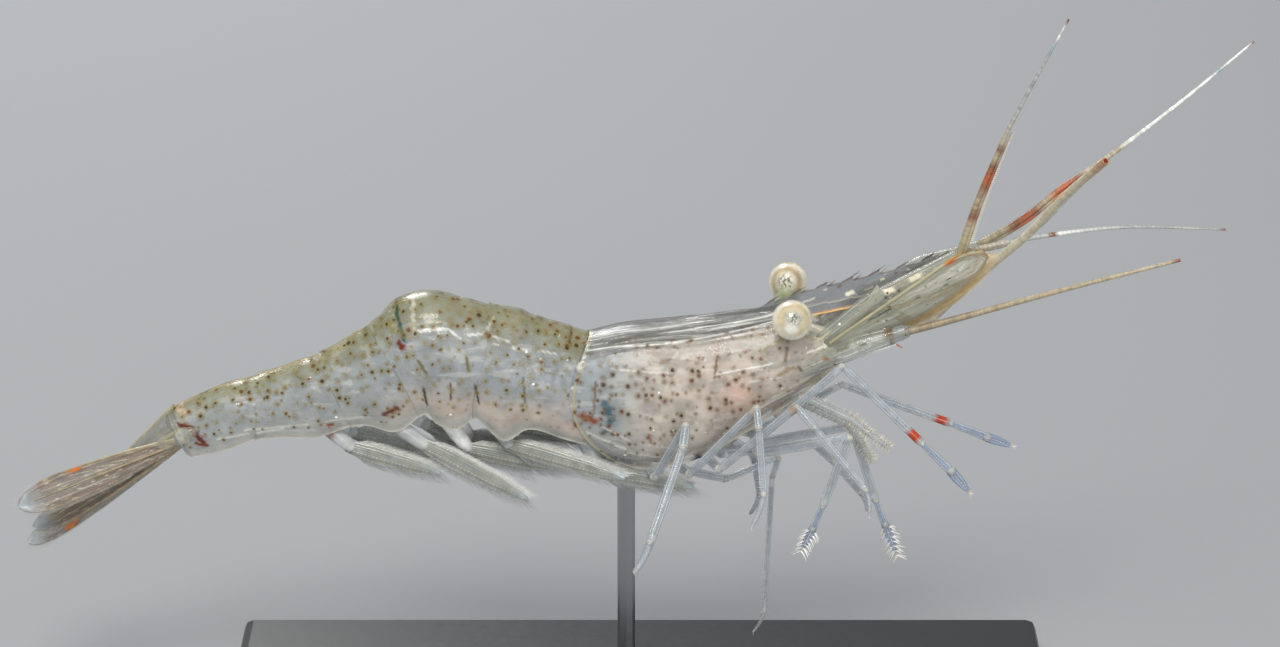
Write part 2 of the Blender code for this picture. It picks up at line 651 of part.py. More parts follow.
def make_mouthparts():
    bm = bmesh.new()
    bmesh.ops.create_uvsphere(bm, u_segments=12, v_segments=8, radius=MM)
    bmesh.ops.scale(bm, verts=bm.verts, vec=Vector(MOUTH_HALF_SIZES))
    bmesh.ops.translate(bm, verts=bm.verts, vec=Vector(MOUTH_PLACE) * MM)
    mesh = bpy.data.meshes.new("mouthparts")
    bm.to_mesh(mesh)
    bm.free()
    trim(add_part("mouthparts", mesh, "flesh"), "carapace", "sternum")


# ---------------------------------------------------------------- stand

def make_stand():
    bm = bmesh.new()
    bmesh.ops.create_cube(bm, size=1.0)
    for vert in bm.verts:
        vert.co = Vector((vert.co.x * BASE_LENGTH, vert.co.y * BASE_DEPTH, (vert.co.z + 0.5) * BASE_THICKNESS)) * MM
    mesh = bpy.data.meshes.new("stand_base")
    bm.to_mesh(mesh)
    bm.free()
    base = add_part("stand_base", mesh, "base", 0.3)
    bevel = base.modifiers.new("edges", "BEVEL")
    bevel.width = BASE_BEVEL * MM
    bevel.segments = 2
    foot = BASE_THICKNESS + PARTING_GAP
    path = [((ROD_X, 0, foot), ROD_DIAMETER), ((ROD_X, 0, ROD_TOP_Z), ROD_DIAMETER)]
    trim(add_part("stand_rod", tube("stand_rod", path), "rod", 0.25, 1.0), "sternum")


clear_scene()
PARTS = new_collection("shrimp")
CUTTERS = new_collection("cutters", hidden=True)
make_carapace()
make_abdomen()
make_sternum()
make_limbs()
make_pleopods()
make_telson()
make_uropods()
make_eyes()
make_rostrum()
make_antennules()
make_antennae()
make_mouthparts()
make_stand()
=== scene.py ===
"""Glass shrimp on a display stand: the fine shapes and finishes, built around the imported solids.

Lengths are in millimetres and become metres in make_piece. The head is at +X, the animal's left side
is +Y and up is +Z. The body sections and the limb rows repeat those of the solids, so that each
piece lies where its node does. Colours are written as 0-255 display values by rgb().
"""

import math

import bmesh
import bpy
import numpy as np
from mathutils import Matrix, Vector


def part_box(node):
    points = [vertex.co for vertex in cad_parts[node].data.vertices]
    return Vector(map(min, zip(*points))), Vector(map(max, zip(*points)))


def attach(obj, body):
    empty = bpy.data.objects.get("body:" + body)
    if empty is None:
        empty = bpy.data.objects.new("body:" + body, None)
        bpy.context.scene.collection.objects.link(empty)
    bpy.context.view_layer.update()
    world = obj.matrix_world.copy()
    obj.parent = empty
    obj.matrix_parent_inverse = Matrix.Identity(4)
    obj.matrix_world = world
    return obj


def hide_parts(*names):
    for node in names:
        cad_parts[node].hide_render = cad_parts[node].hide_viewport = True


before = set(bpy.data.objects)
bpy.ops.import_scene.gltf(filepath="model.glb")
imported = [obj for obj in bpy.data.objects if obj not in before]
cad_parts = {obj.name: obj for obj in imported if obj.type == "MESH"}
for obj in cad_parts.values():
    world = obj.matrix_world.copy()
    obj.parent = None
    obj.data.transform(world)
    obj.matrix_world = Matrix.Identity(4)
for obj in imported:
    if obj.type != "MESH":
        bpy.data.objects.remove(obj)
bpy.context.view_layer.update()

MM = 0.001
SIDES = (("r", -1), ("l", 1))
LEFT = np.array((0.0, 1.0, 0.0))
rng = np.random.default_rng(11)

# ---------------------------------------------------------------- the solids' own rows

# A body section is (top x, top z, lower margin x, lower margin z, half width, bow, skew).
CARAPACE_ANGLE = 140
CARAPACE_SECTIONS = (
    (-2.5, 21.0, -1.2, 14.7, 2.40, -1.5, 0.0),
    (-0.9, 21.4, 0.2, 14.4, 2.60, -0.9, 0.0),
    (1.0, 21.6, 1.7, 14.6, 2.68, -0.4, 0.0),
    (2.8, 21.8, 3.3, 15.2, 2.66, -0.1, 0.0),
    (4.6, 22.0, 5.2, 16.3, 2.50, 0.1, 0.0),
    (6.2, 22.2, 7.1, 17.6, 2.26, 0.4, 0.1),
    (7.1, 22.4, 8.3, 18.4, 2.00, 0.8, 0.2),
    (7.3, 22.3, 9.1, 18.9, 1.72, 1.0, 0.3),
)
ABDOMEN_ANGLE = 127
# From the carapace back to the telson: the joints between somites, and each somite's middle sections.
ABDOMEN_JOINTS = (
    (-2.6, 21.0, -1.4, 15.4, 2.36, -1.5, 0.0),
    (-4.8, 21.6, -5.5, 16.7, 2.46, -0.5, -0.2),
    (-7.2, 22.3, -8.1, 17.2, 2.46, 0.1, -0.2),
    (-13.1, 21.7, -10.7, 17.4, 2.14, 0.3, 0.0),
    (-15.7, 20.0, -13.9, 16.7, 1.82, 0.1, 0.0),
    (-18.5, 18.9, -18.8, 15.9, 1.50, 0.1, 0.0),
    (-23.6, 16.9, -22.6, 14.7, 1.05, 0.0, 0.0),
)
ABDOMEN_MIDDLES = (
    ((-3.7, 21.3, -3.6, 16.1, 2.44, -1.0, 0.0),),
    ((-6.0, 22.1, -6.8, 16.1, 2.56, -0.2, -0.2),),
    ((-8.6, 22.7, -8.8, 16.8, 2.44, 0.1, 0.0),
     (-10.5, 23.1, -9.4, 16.6, 2.36, 0.2, 0.0),
     (-12.1, 22.7, -10.1, 16.9, 2.24, 0.3, 0.0)),
    ((-14.4, 20.8, -12.2, 16.4, 1.98, 0.2, 0.0),),
    ((-17.1, 19.4, -16.3, 16.0, 1.66, 0.1, 0.0),),
    ((-21.0, 18.1, -20.8, 15.2, 1.36, 0.0, 0.0),),
)
STERNUM_AXIS = ((-1.0, 14.75), (1.5, 14.75), (4.0, 15.65), (6.4, 17.05), (8.4, 18.35))
COXA_DROP = 0.25
COXA_SIDE = 0.85
COXA_X = {"maxilliped_3": 7.0, "pereiopod_1": 5.7, "pereiopod_2": 4.4, "pereiopod_3": 3.0,
          "pereiopod_4": 1.6, "pereiopod_5": 0.2}
# Each podomere of a limb, from the coxa out: (length, pitch above the horizontal, yaw to the left).
LIMBS = {
    "maxilliped_3_r": ((1.6, 37, -26), (2.7, -26, -2), (1.0, -39, -8), (1.4, -37, -5)),
    "maxilliped_3_l": ((1.4, -18, 16), (2.5, -24, -5), (1.2, -57, -2), (1.2, -60, 0)),
    "pereiopod_1_r": ((1.5, -75, -63), (4.8, 14, -9), (4.0, -71, 166), (1.4, -69, 167), (1.4, -66, 170)),
    "pereiopod_1_l": ((1.8, -77, 55), (4.9, 8, 6), (4.2, -72, -8), (1.4, -68, -12), (1.8, -68, -8)),
    "pereiopod_2_r": ((1.6, -1, -56), (6.8, 45, -12), (5.5, -42, -15), (2.0, -42, -14), (1.5, -48, -12)),
    "pereiopod_2_l": ((1.9, -25, 41), (5.2, 29, 5), (6.1, -22, 4), (2.1, -24, 7), (1.5, -22, 4)),
    "pereiopod_3_r": ((2.1, -9, -62), (5.5, 44, -18), (1.4, -39, -34), (4.2, -33, -46), (1.3, -73, -70)),
    "pereiopod_3_l": ((2.0, -41, 39), (4.9, 1, 17), (1.5, -45, 9), (2.5, -51, 7), (1.0, -75, 2)),
    "pereiopod_4_r": ((1.8, -6, -60), (5.5, 49, -25), (1.1, -53, -81), (3.8, -37, -87),
                      (1.7, -60, -136)),
    "pereiopod_4_l": ((1.9, -23, 55), (3.3, -6, 24), (1.3, -58, 60), (4.6, -43, 84), (1.8, -57, 119)),
    "pereiopod_5_r": ((1.6, -13, -69), (4.2, 56, -50), (1.1, -56, -104), (5.1, -49, -119),
                      (1.7, -54, -144)),
    "pereiopod_5_l": ((2.5, -34, 12), (2.3, -17, 11), (2.9, 19, 11), (1.2, -73, 150), (7.7, -86, 125),
                      (1.3, -63, -176)),
}
# Each pleopod: root (x, y, z), protopod (length, pitch), pitch of the rami, and on each side
# (length of the rami, splay outward).
PLEOPODS = (
    ((-3.2, 1.10, 16.3), (2.7, -60), -8, {"r": (4.9, 3), "l": (2.3, 11)}),
    ((-7.5, 1.15, 17.0), (1.8, -56), -12, {"r": (6.4, 11), "l": (6.4, 11)}),
    ((-10.3, 0.85, 17.5), (2.9, -55), -12, {"r": (5.0, 0), "l": (5.0, 0)}),
    ((-13.3, 1.05, 17.3), (3.1, -35), -26, {"r": (6.1, 8), "l": (6.1, 8)}),
    ((-16.2, 0.90, 16.75), (2.3, -41), -15, {"r": (4.9, 4), "l": (4.9, 4)}),
)
TELSON_ROOT = (-23.0, 0.0, 16.3)
TELSON_LENGTH = 7.2
TELSON_PITCH = -37
UROPOD_ROOT = (-22.6, 0.95, 15.65)
UROPOD_LENGTH = 1.7
UROPOD_PITCH = -24
UROPOD_LIFT = 0.35
# Each blade: root, length, pitch, yaw, roll of its width about its length, breadth. The first is 3
# degrees flatter and its root 0.4 mm lower than in its solid.
UROPOD_BLADES = {
    "uropod_exopod_r": ((-23.3, -1.15, 15.45), 8.5, -20, -172, 62, 1.65),
    "uropod_exopod_l": ((-23.3, 1.20, 14.70), 10.2, -36, 173, 40, 1.6),
    "uropod_endopod_r": ((-23.3, -0.75, 15.35), 8.8, -32, 179, 58, 1.3),
    "uropod_endopod_l": ((-23.3, 0.75, 14.85), 8.8, -33, 180, 46, 1.3),
}
ROSTRUM_TOP = ((4.6, 21.9), (6.5, 22.55), (8.0, 23.15), (10.9, 23.9), (12.7, 24.35), (14.9, 25.1),
               (15.4, 25.35))
ROSTRUM_UNDER = ((5.0, 21.2), (7.2, 21.7), (9.0, 22.05), (11.1, 22.5), (12.9, 23.7), (14.4, 24.65),
                 (15.4, 25.30))
ROSTRUM_TEETH = (6.1, 7.4, 8.7, 10.0, 11.3, 12.6, 13.9)
EYESTALK_ROOT = (7.0, 0.7, 21.5)
ANTENNULE_ROOT = (9.0, 0.86, 20.75)
ANTENNULE_PEDUNCLES = {
    "r": ((3.1, 41, 0), (3.2, 30, 0), (1.9, 32, 0)),
    "l": ((3.1, 41, 0), (3.2, 30, 0), (2.9, 16, 2)),
}
OUTER_FLAGELLA = {
    "r": ((3.0, 73, -27), (3.1, 69, -32), (2.3, 66, -33), (5.6, 64, -21)),
    "l": ((2.7, 32, 2), (2.3, 39, 7), (3.0, 34, 7), (4.4, 37, 8), (4.6, 39, 10)),
}
INNER_FLAGELLA = {
    "r": ((1.4, 12, 5), (3.3, 10, 3), (4.0, 5, 3), (4.8, -3, 4)),
    "l": ((1.6, 10, 10), (1.7, 30, 4), (2.0, 47, 0), (2.0, 47, -4)),
}
FLAGELLA_SPREAD = 0.34
ANTENNA_ROOT = (8.6, 1.75, 19.95)
ANTENNA_PEDUNCLE = ((2.4, 26, -4), (1.9, 19, -3))
ANTENNA_FLAGELLA = {
    "r": ((2.9, 16, -2), (5.6, 17, -2), (6.3, 16, -2)),
    "l": ((2.0, -14, -21), (2.2, 42, -33), (2.8, 47, -32), (3.6, 43, -46), (3.9, 45, -56),
          (4.1, 40, -60)),
}
SCALE_ROOT = (9.4, 1.95, 21.2)
SCALE_LENGTH = 8.9
SCALE_POSES = {"r": (38, 7, 54), "l": (20, 11.5, 4)}
SCALE_EDGES = ((0.0, 0.0, 0.5), (0.16, 0.0, 1.25), (0.36, 0.0, 2.0), (0.6, 0.0, 2.35),
               (0.82, 0.0, 2.2), (0.93, 0.35, 1.8), (1.0, 0.8, 1.35))
SCALE_TOOTH = 0.86


# ---------------------------------------------------------------- colours

def rgb(red, green, blue, opacity=1.0):
    """A display colour of 0-255 values as the shader's linear one, with its opacity."""
    share = np.array((red, green, blue)) / 255
    linear = np.where(share <= 0.04045, share / 12.92, ((share + 0.055) / 1.055) ** 2.4)
    return np.array((*linear, opacity))


GLASS = rgb(180, 185, 184, 0.34)
GLASS_WARM = rgb(212, 202, 188, 0.30)
MARGIN = rgb(196, 188, 140, 0.75)
FLESH_WARM = rgb(218, 208, 196)
FLESH_BLUE = rgb(170, 173, 174)
JOINT = rgb(228, 218, 198, 0.9)
SETA = rgb(236, 234, 226, 0.95)
DARK_SETA = rgb(80, 54, 40, 0.95)
ORANGE = rgb(184, 66, 24, 0.92)
RED = rgb(124, 40, 24, 0.92)
TAN = rgb(226, 218, 198, 0.9)
FRINGE = rgb(196, 170, 118, 0.85)
# Each kind of limb: the tints of its clear sleeve, of the muscle in it and of its joints.
CLEAR_LEG = (rgb(188, 196, 202, 0.36), rgb(168, 176, 184, 0.42), rgb(228, 222, 206, 0.75))
BLUE_LEG = (rgb(172, 186, 202, 0.40), rgb(132, 150, 176, 0.55), rgb(228, 222, 208, 0.80))
JAW_LEG = (rgb(196, 202, 204, 0.36), rgb(204, 204, 196, 0.38), rgb(226, 220, 202, 0.70))
STEM = (rgb(172, 176, 166, 0.40), rgb(204, 204, 190, 0.40), rgb(214, 208, 186, 0.60))
TENDON = rgb(238, 240, 238, 0.90)


# ---------------------------------------------------------------- geometry helpers

def unit(vectors):
    vectors = np.asarray(vectors, float)
    return vectors / np.maximum(np.linalg.norm(vectors, axis=-1, keepdims=True), 1e-12)


def direction(pitch, yaw):
    pitch, yaw = math.radians(pitch), math.radians(yaw)
    return np.array((math.cos(pitch) * math.cos(yaw), math.cos(pitch) * math.sin(yaw), math.sin(pitch)))


def smooth_at(rows, places):
    """Rows of numbers, smoothly interpolated at fractional row places, also a little past the ends."""
    rows = np.asarray(rows, float)
    places = np.asarray(places, float)
    k = np.clip(np.floor(places).astype(int), 0, len(rows) - 2)
    t = (places - k)[:, None]
    padded = np.vstack([2 * rows[0] - rows[1], rows, 2 * rows[-1] - rows[-2]])
    a, b, c, d = (padded[k + after] for after in range(4))
    square, cube = 2 * a - 5 * b + 4 * c - d, 3 * b - a - 3 * c + d
    return 0.5 * (2 * b + (c - a) * t + square * t ** 2 + cube * t ** 3)


def smooth(rows, count):
    return smooth_at(rows, np.linspace(0, len(rows) - 1, count))


def profile(t, pairs):
    """A curve through (place, value) pairs, straight between them."""
    return np.interp(t, [pair[0] for pair in pairs], [pair[1] for pair in pairs])


def step(low, high, values):
    """0 below low, 1 above high, and smooth between."""
    t = np.clip((np.asarray(values, float) - low) / (high - low), 0, 1)
    return t * t * (3 - 2 * t)


def bell(values, centre, width):
    """1 at the centre, and falling on both sides of it over the width."""
    return np.exp(-((np.asarray(values, float) - centre) / width) ** 2)


def mixed(first, second, amount):
    """Two tints mixed by an array of amounts."""
    amount = np.asarray(amount, float)[..., None]
    return first + (second - first) * amount


def layered(tint, *layers):
    """A tint under layers of (tint, array of amounts)."""
    for colour, amount in layers:
        tint = mixed(tint, colour, amount)
    return tint


def on_side(place, side):
    """A place given for the left side, on the left (1) or the right (-1) one."""
    return np.array(place) * (1, side, 1)


def rows_at(places, stations, rows):
    """Rows of numbers at places between their stations, straight between them."""
    return np.stack([np.interp(places, stations, column) for column in np.asarray(rows, float).T], -1)


def path_of(root, rows):
    """The joints of a chain of (length, pitch, yaw) rows."""
    places = [np.asarray(root, float)]
    for length, pitch, yaw in rows:
        places.append(places[-1] + direction(pitch, yaw) * length)
    return np.array(places)


def frames(path, side):
    """Unit vectors along a path, and two across it, the first as near to side as can be."""
    along = unit(np.gradient(np.asarray(path, float), axis=0))
    side = np.asarray(side, float)
    across = unit(side - (along @ side)[:, None] * along)
    return along, across, np.cross(along, across)


def normals(surface):
    return unit(np.cross(np.gradient(surface, axis=0), np.gradient(surface, axis=1)))


def quads(index):
    return np.stack([index[:-1, :-1], index[1:, :-1], index[1:, 1:], index[:-1, 1:]], -1).reshape(-1, 4)


BRISTLE_PATCH = 0.003


class Shape:
    """The points, faces, tints and pigment of one piece, and the OFBake places of its hairs."""

    def __init__(self):
        self.points = []
        self.faces = []
        self.tints = []
        self.pigment = []
        self.places = []
        self.count = 0

    def add(self, points, faces, tint, pigment=0.0, places=None):
        points = np.reshape(points, (-1, 3))
        self.points.append(points)
        self.faces += [block + self.count for block in faces]
        self.tints.append(np.broadcast_to(tint, (len(points), 4)).copy())
        self.pigment.append(np.broadcast_to(pigment, (len(points),)))
        if places is not None:
            self.places.append(places)
        self.count += len(points)

    def grid(self, rings, tint):
        """A closed skin through closed rings, an array (rings, points, 3), with a cap at each end."""
        count, around = rings.shape[:2]
        tint = tint[:, None] if tint.ndim == 2 else tint
        tint = np.broadcast_to(tint, (count, around, 4)).reshape(-1, 4)
        index = np.arange(count * around).reshape(count, around)
        skin = quads(np.hstack([index, index[:, :1]]))
        ends = []
        for row, centre in ((index[0], count * around), (index[-1], count * around + 1)):
            ends.append(np.stack([row, np.roll(row, -1), np.full(around, centre)], -1))
        centres = np.stack([rings[0].mean(0), rings[-1].mean(0)])
        points = np.vstack([rings.reshape(-1, 3), centres])
        tints = np.vstack([tint, tint[0], tint[-1]])
        self.add(points, [skin, *ends], tints)

    def tube(self, path, widths, tint, side=LEFT, flat=1.0, sides=12):
        """A tube along a path. The widths are its diameters, and flat stretches it across side."""
        path = np.asarray(path, float)
        _, across, up = frames(path, side)
        turn = (2 * np.pi * np.arange(sides) / sides)[:, None]
        half = 0.5 * np.broadcast_to(widths, len(path))[:, None, None]
        ring = across[:, None] * np.cos(turn) + up[:, None] * flat * np.sin(turn)
        self.grid(path[:, None] + half * ring, tint)

    def spine(self, root, way, reach, widths, count, tint, sides=8):
        """A straight tapering tube, from one distance to another along a way from its root."""
        path = np.asarray(root) + np.outer(np.linspace(*reach, count), way)
        self.tube(path, np.linspace(*widths, count), tint, sides=sides)

    def plate(self, surface, thickness, tint, pigment=0.0):
        """A closed thin plate around a surface, an array (rows, columns, 3)."""
        rows, columns = surface.shape[:2]
        normal = normals(surface)
        half = 0.5 * np.broadcast_to(thickness, (rows, columns))[..., None]
        both = np.stack([surface + normal * half, surface - normal * half])
        index = np.arange(2 * rows * columns).reshape(2, rows, columns)
        faces = [quads(index[0]), quads(index[1])]
        for edge in (index[:, 0], index[:, -1], index[:, :, 0], index[:, :, -1]):
            faces.append(quads(edge))
        tint = np.broadcast_to(tint, (rows, columns, 4)).reshape(-1, 4)
        pigment = np.broadcast_to(pigment, (rows, columns)).reshape(-1)
        self.add(both, faces, np.tile(tint, (2, 1)), np.tile(pigment, 2))

    def ball(self, centre, radii, tint, rings=16, sides=24):
        """An egg with the given half sizes along X, Y and Z."""
        theta = np.linspace(0.02, np.pi - 0.02, rings)
        turn = 2 * np.pi * np.arange(sides) / sides
        x = np.broadcast_to(np.cos(theta)[:, None], (rings, sides))
        y = np.sin(theta)[:, None] * np.cos(turn)
        z = np.sin(theta)[:, None] * np.sin(turn)
        self.grid(np.asarray(centre) + np.stack([x, y, z], -1) * np.asarray(radii), tint)

    def bristles(self, roots, ways, lengths, widths, tint, bend=(0, 0, 0), rings=4):
        """Thin curved three-sided spikes, each closed, with an OFBake patch of its own."""
        roots = np.asarray(roots, float)
        count = len(roots)
        ways = np.broadcast_to(unit(ways), (count, 3))
        lengths = np.broadcast_to(lengths, count)[:, None, None]
        bend = np.broadcast_to(bend, (count, 3))[:, None]
        t = np.linspace(0, 1, rings)[None, :, None]
        centre = roots[:, None] + (ways[:, None] * t + bend * t ** 2) * lengths
        across = unit(np.cross(ways, np.where(np.abs(ways[:, 1:2]) > 0.8, (1.0, 0, 0), (0, 1.0, 0))))
        up = np.cross(ways, across)
        turn = 2 * np.pi * np.arange(3) / 3
        half = 0.5 * widths * (1 - 0.8 * t)
        ring = across[:, None, None] * np.cos(turn)[:, None] + up[:, None, None] * np.sin(turn)[:, None]
        points = centre[:, :, None] + half[..., None] * ring
        size = rings * 3
        template = np.arange(size).reshape(rings, 3)
        skin = quads(np.hstack([template, template[:, :1]]))
        starts = (np.arange(count) * size)[:, None, None]
        caps = np.stack([template[0], template[-1]])
        tint = np.repeat(np.broadcast_to(tint, (count, 4)), size, axis=0)
        places = np.stack([np.linspace(0.02, 0.98, count), np.full(count, 0.5)], -1)
        patch = np.stack(np.broadcast_arrays(t[0] - 0.5, np.arange(3) / 3 - 0.5), -1).reshape(-1, 2)
        spots = (places[:, None] + BRISTLE_PATCH * patch).reshape(-1, 2)
        faces = [(skin + starts).reshape(-1, 4), (caps + starts).reshape(-1, 3)]
        self.add(points, faces, tint, places=spots)


# The hairs of the whole animal, one shape for each piece.
HEAD_SETAE, LEG_SETAE, PLEOPOD_SETAE, TAIL_SETAE = (Shape() for _ in range(4))


def make_piece(name, shape, material, nodes=(), sharp=55):
    """One mesh object from a shape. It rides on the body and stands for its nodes."""
    mesh = bpy.data.meshes.new(name)
    points = np.concatenate(shape.points) * MM
    faces = [face for block in shape.faces for face in block.tolist()]
    mesh.from_pydata(points.tolist(), [], faces)
    tints = mesh.color_attributes.new("tint", "FLOAT_COLOR", "POINT")
    tints.data.foreach_set("color", np.concatenate(shape.tints).astype(np.float32).ravel())
    pigment = mesh.attributes.new("pigment", "FLOAT", "POINT")
    pigment.data.foreach_set("value", np.concatenate(shape.pigment).astype(np.float32))
    if shape.places:
        layer = mesh.uv_layers.new(name="OFBake")
        corners = np.empty(len(mesh.loops), np.int32)
        mesh.loops.foreach_get("vertex_index", corners)
        layer.uv.foreach_set("vector", np.concatenate(shape.places)[corners].astype(np.float32).ravel())
    outward(mesh)
    mesh.shade_smooth()
    mesh.set_sharp_from_angle(angle=math.radians(sharp))
    mesh.materials.append(material)
    obj = bpy.data.objects.new(name, mesh)
    bpy.context.scene.collection.objects.link(obj)
    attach(obj, "root")
    if nodes:
        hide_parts(*nodes)
    return obj


def node_box(name):
    """The two corners of a node's box."""
    return [np.array(corner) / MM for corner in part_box(name)]


def outward(mesh):
    """Turn the faces of each closed part outward."""
    bm = bmesh.new()
    bm.from_mesh(mesh)
    bmesh.ops.recalc_face_normals(bm, faces=bm.faces)
    bm.to_mesh(mesh)
    bm.free()


# ---------------------------------------------------------------- materials

class Finish:
    """A procedural material. Lengths are in millimetres, and patterns lie in the piece's own space."""

    def __init__(self, name, **constants):
        self.material = bpy.data.materials.new(name)
        self.material.use_nodes = True
        self.tree = self.material.node_tree
        self.shader = self.tree.nodes["Principled BSDF"]
        self.place = self.add("ShaderNodeTexCoord").outputs["Object"]
        for socket, value in constants.items():
            self.shader.inputs[socket.replace("_", " ")].default_value = value

    def add(self, kind, inputs=None, **settings):
        node = self.tree.nodes.new(kind)
        for name, value in settings.items():
            setattr(node, name, value)
        for socket, value in (inputs or {}).items():
            self.feed(node.inputs[socket], value)
        return node

    def feed(self, socket, value):
        if isinstance(value, bpy.types.NodeSocket):
            self.tree.links.new(value, socket)
        else:
            socket.default_value = value

    def set(self, socket, value):
        self.feed(self.shader.inputs[socket], value)

    def attribute(self, name, output):
        return self.add("ShaderNodeAttribute", attribute_name=name).outputs[output]

    def math(self, operation, first, second):
        return self.add("ShaderNodeMath", {0: first, 1: second}, operation=operation).outputs[0]

    def fall(self, value, low, high):
        """1 below low, 0 above high, and smooth between."""
        inputs = {"Value": value, "From Min": low, "From Max": high, "To Min": 1.0, "To Max": 0.0}
        return self.add("ShaderNodeMapRange", inputs, interpolation_type="SMOOTHSTEP").outputs[0]

    def spread(self, value, low, high, start=0.0, end=1.0):
        """A value from start to end as one from low to high."""
        inputs = {"Value": value, "From Min": start, "From Max": end, "To Min": low, "To Max": high}
        return self.add("ShaderNodeMapRange", inputs).outputs[0]

    def mix(self, amount, first, second, blend="MIX"):
        node = self.add("ShaderNodeMix", data_type="RGBA", blend_type=blend)
        for index, value in ((0, amount), (6, first), (7, second)):
            self.feed(node.inputs[index], value)
        return node.outputs[2]

    def noise(self, size, detail=2.0, stretch=(1, 1, 1)):
        place = self.add("ShaderNodeMapping", {"Vector": self.place, "Scale": stretch}).outputs[0]
        inputs = {"Vector": place, "Scale": 1 / (size * MM), "Detail": detail}
        return self.add("ShaderNodeTexNoise", inputs).outputs["Fac"]

    def cells(self, size):
        inputs = {"Vector": self.place, "Scale": 1 / (size * MM), "Randomness": 0.96}
        return self.add("ShaderNodeTexVoronoi", inputs).outputs

    def shaded(self, shade):
        """The tint's colour under a shade."""
        return self.mix(1.0, self.attribute("tint", "Color"), shade, "MULTIPLY")

    def times(self, first, second):
        return self.math("MULTIPLY", first, second)

    def most(self, first, second):
        return self.math("MAXIMUM", first, second)

    def bump(self, height, distance, strength):
        inputs = {"Height": height, "Distance": distance * MM, "Strength": strength}
        self.set("Normal", self.add("ShaderNodeBump", inputs).outputs[0])


# The values between which most of a noise lies.
CLOUD = (0.3, 0.7)
DOT_CELL = 0.44
SPECK_CELL = 1.5
SPECK = rgb(250, 250, 246)
STREAK_WHITE = rgb(246, 242, 234)
HOLLOW = rgb(112, 118, 118)
PUPIL = rgb(40, 36, 32)


def shell_finish(name, inks, halo, reach, strength):
    """Clear glossy cuticle with star-shaped pigment dots of two inks, each in a soft halo, and white
    specks. The pigment attribute is the dots' radius as a share of DOT_CELL."""
    finish = Finish(name, Roughness=0.26, Specular_IOR_Level=0.4, Coat_Weight=0.35, Coat_Roughness=0.06)
    cells = finish.cells(DOT_CELL)
    chance = finish.add("ShaderNodeSeparateColor", {"Color": cells["Color"]}).outputs
    size = finish.times(finish.spread(chance["Red"], 0.6, 1.2), finish.attribute("pigment", "Fac"))
    ragged = finish.spread(finish.noise(0.08), -0.07, 0.07, *CLOUD)
    distance = finish.math("ADD", cells["Distance"], ragged)
    share = finish.math("DIVIDE", distance, finish.most(size, 0.001))
    dots = finish.fall(share, 0.36, 1.04)
    halos = finish.times(finish.fall(share, 0.6, reach), strength)
    specks = finish.fall(finish.cells(SPECK_CELL)["Distance"], 0.035, 0.055)
    ground = finish.shaded(finish.spread(finish.noise(1.2, 4.0), 0.82, 1.16, *CLOUD))
    ink = finish.mix(finish.fall(chance["Green"], 0.3, 0.7), inks[0], inks[1])
    inked = finish.mix(dots, finish.mix(halos, ground, halo), ink)
    finish.set("Base Color", finish.mix(specks, inked, SPECK))
    marks = finish.most(finish.times(dots, 0.95), halos)
    opacity = finish.most(finish.attribute("tint", "Alpha"), marks)
    finish.set("Alpha", finish.most(opacity, specks))
    finish.bump(finish.noise(0.35, 4.0, (0.5, 1, 1)), 0.07, 0.8)
    return finish.material


def flesh_finish(name):
    """Milky muscle with fibres along the body, white streaks and grey hollows."""
    finish = Finish(name, Roughness=0.55, Coat_Weight=0.1, Coat_Roughness=0.2, Subsurface_Weight=0.35)
    finish.set("Subsurface Radius", (1.0, 0.8, 0.7))
    finish.set("Subsurface Scale", 0.5 * MM)
    fibres = finish.noise(0.7, 5.0, (0.45, 1, 1))
    cloud = finish.noise(2.2, 4.0)
    shades = finish.spread(fibres, 0.74, 1.16, *CLOUD), finish.spread(cloud, 0.80, 1.12, *CLOUD)
    ground = finish.shaded(finish.times(*shades))
    streaks = finish.times(finish.fall(finish.noise(0.5, 5.0, (0.35, 1, 1)), 0.37, 0.47), 0.75)
    hollows = finish.times(finish.fall(finish.noise(1.1, 5.0), 0.39, 0.50), 0.60)
    ground = finish.mix(hollows, ground, HOLLOW)
    finish.set("Base Color", finish.mix(streaks, ground, STREAK_WHITE))
    finish.bump(fibres, 0.16, 0.6)
    return finish.material


def tissue_finish(name, roughness, cell, gloss, mottle=0.16):
    """Clear tissue whose colour and opacity are the tint's, a little mottled."""
    finish = Finish(name, Roughness=roughness, Coat_Weight=gloss, Coat_Roughness=0.08)
    cloud = finish.noise(cell, 5.0)
    finish.set("Base Color", finish.shaded(finish.spread(cloud, 1 - mottle, 1 + mottle, *CLOUD)))
    finish.set("Alpha", finish.attribute("tint", "Alpha"))
    finish.bump(cloud, 0.03, 0.4)
    return finish.material


def pearl_finish(name):
    """The eye's silvery inside, with a dark mottle where the pigment attribute is high, and a faint
    painted glow in its own colour.
    """
    finish = Finish(name, Roughness=0.32, Coat_Weight=0.8)
    mottle = finish.fall(finish.noise(0.12, 3.0), 0.36, 0.58)
    dark = finish.times(mottle, finish.attribute("pigment", "Fac"))
    ground = finish.shaded(finish.spread(finish.noise(0.3, 4.0), 0.82, 1.10, *CLOUD))
    colour = finish.mix(dark, ground, PUPIL)
    finish.set("Base Color", colour)
    # painted glow: the inside shines faintly in its own colour, though it is no lamp
    finish.set("Emission Color", colour)
    finish.set("Emission Strength", 0.14)
    return finish.material


def cornea_finish(name):
    finish = Finish(name, Roughness=0.02, Transmission_Weight=1.0, IOR=1.34)
    finish.set("Base Color", rgb(255, 252, 240))
    return finish.material


def plain_finish(name, colour, roughness, metallic=0.0, grain=0.3):
    """A stand or floor finish, even but for a fine grain in its gloss."""
    finish = Finish(name, Metallic=metallic)
    finish.set("Base Color", colour)
    finish.set("Roughness", finish.spread(finish.noise(grain), roughness - 0.04, roughness + 0.04))
    return finish.material


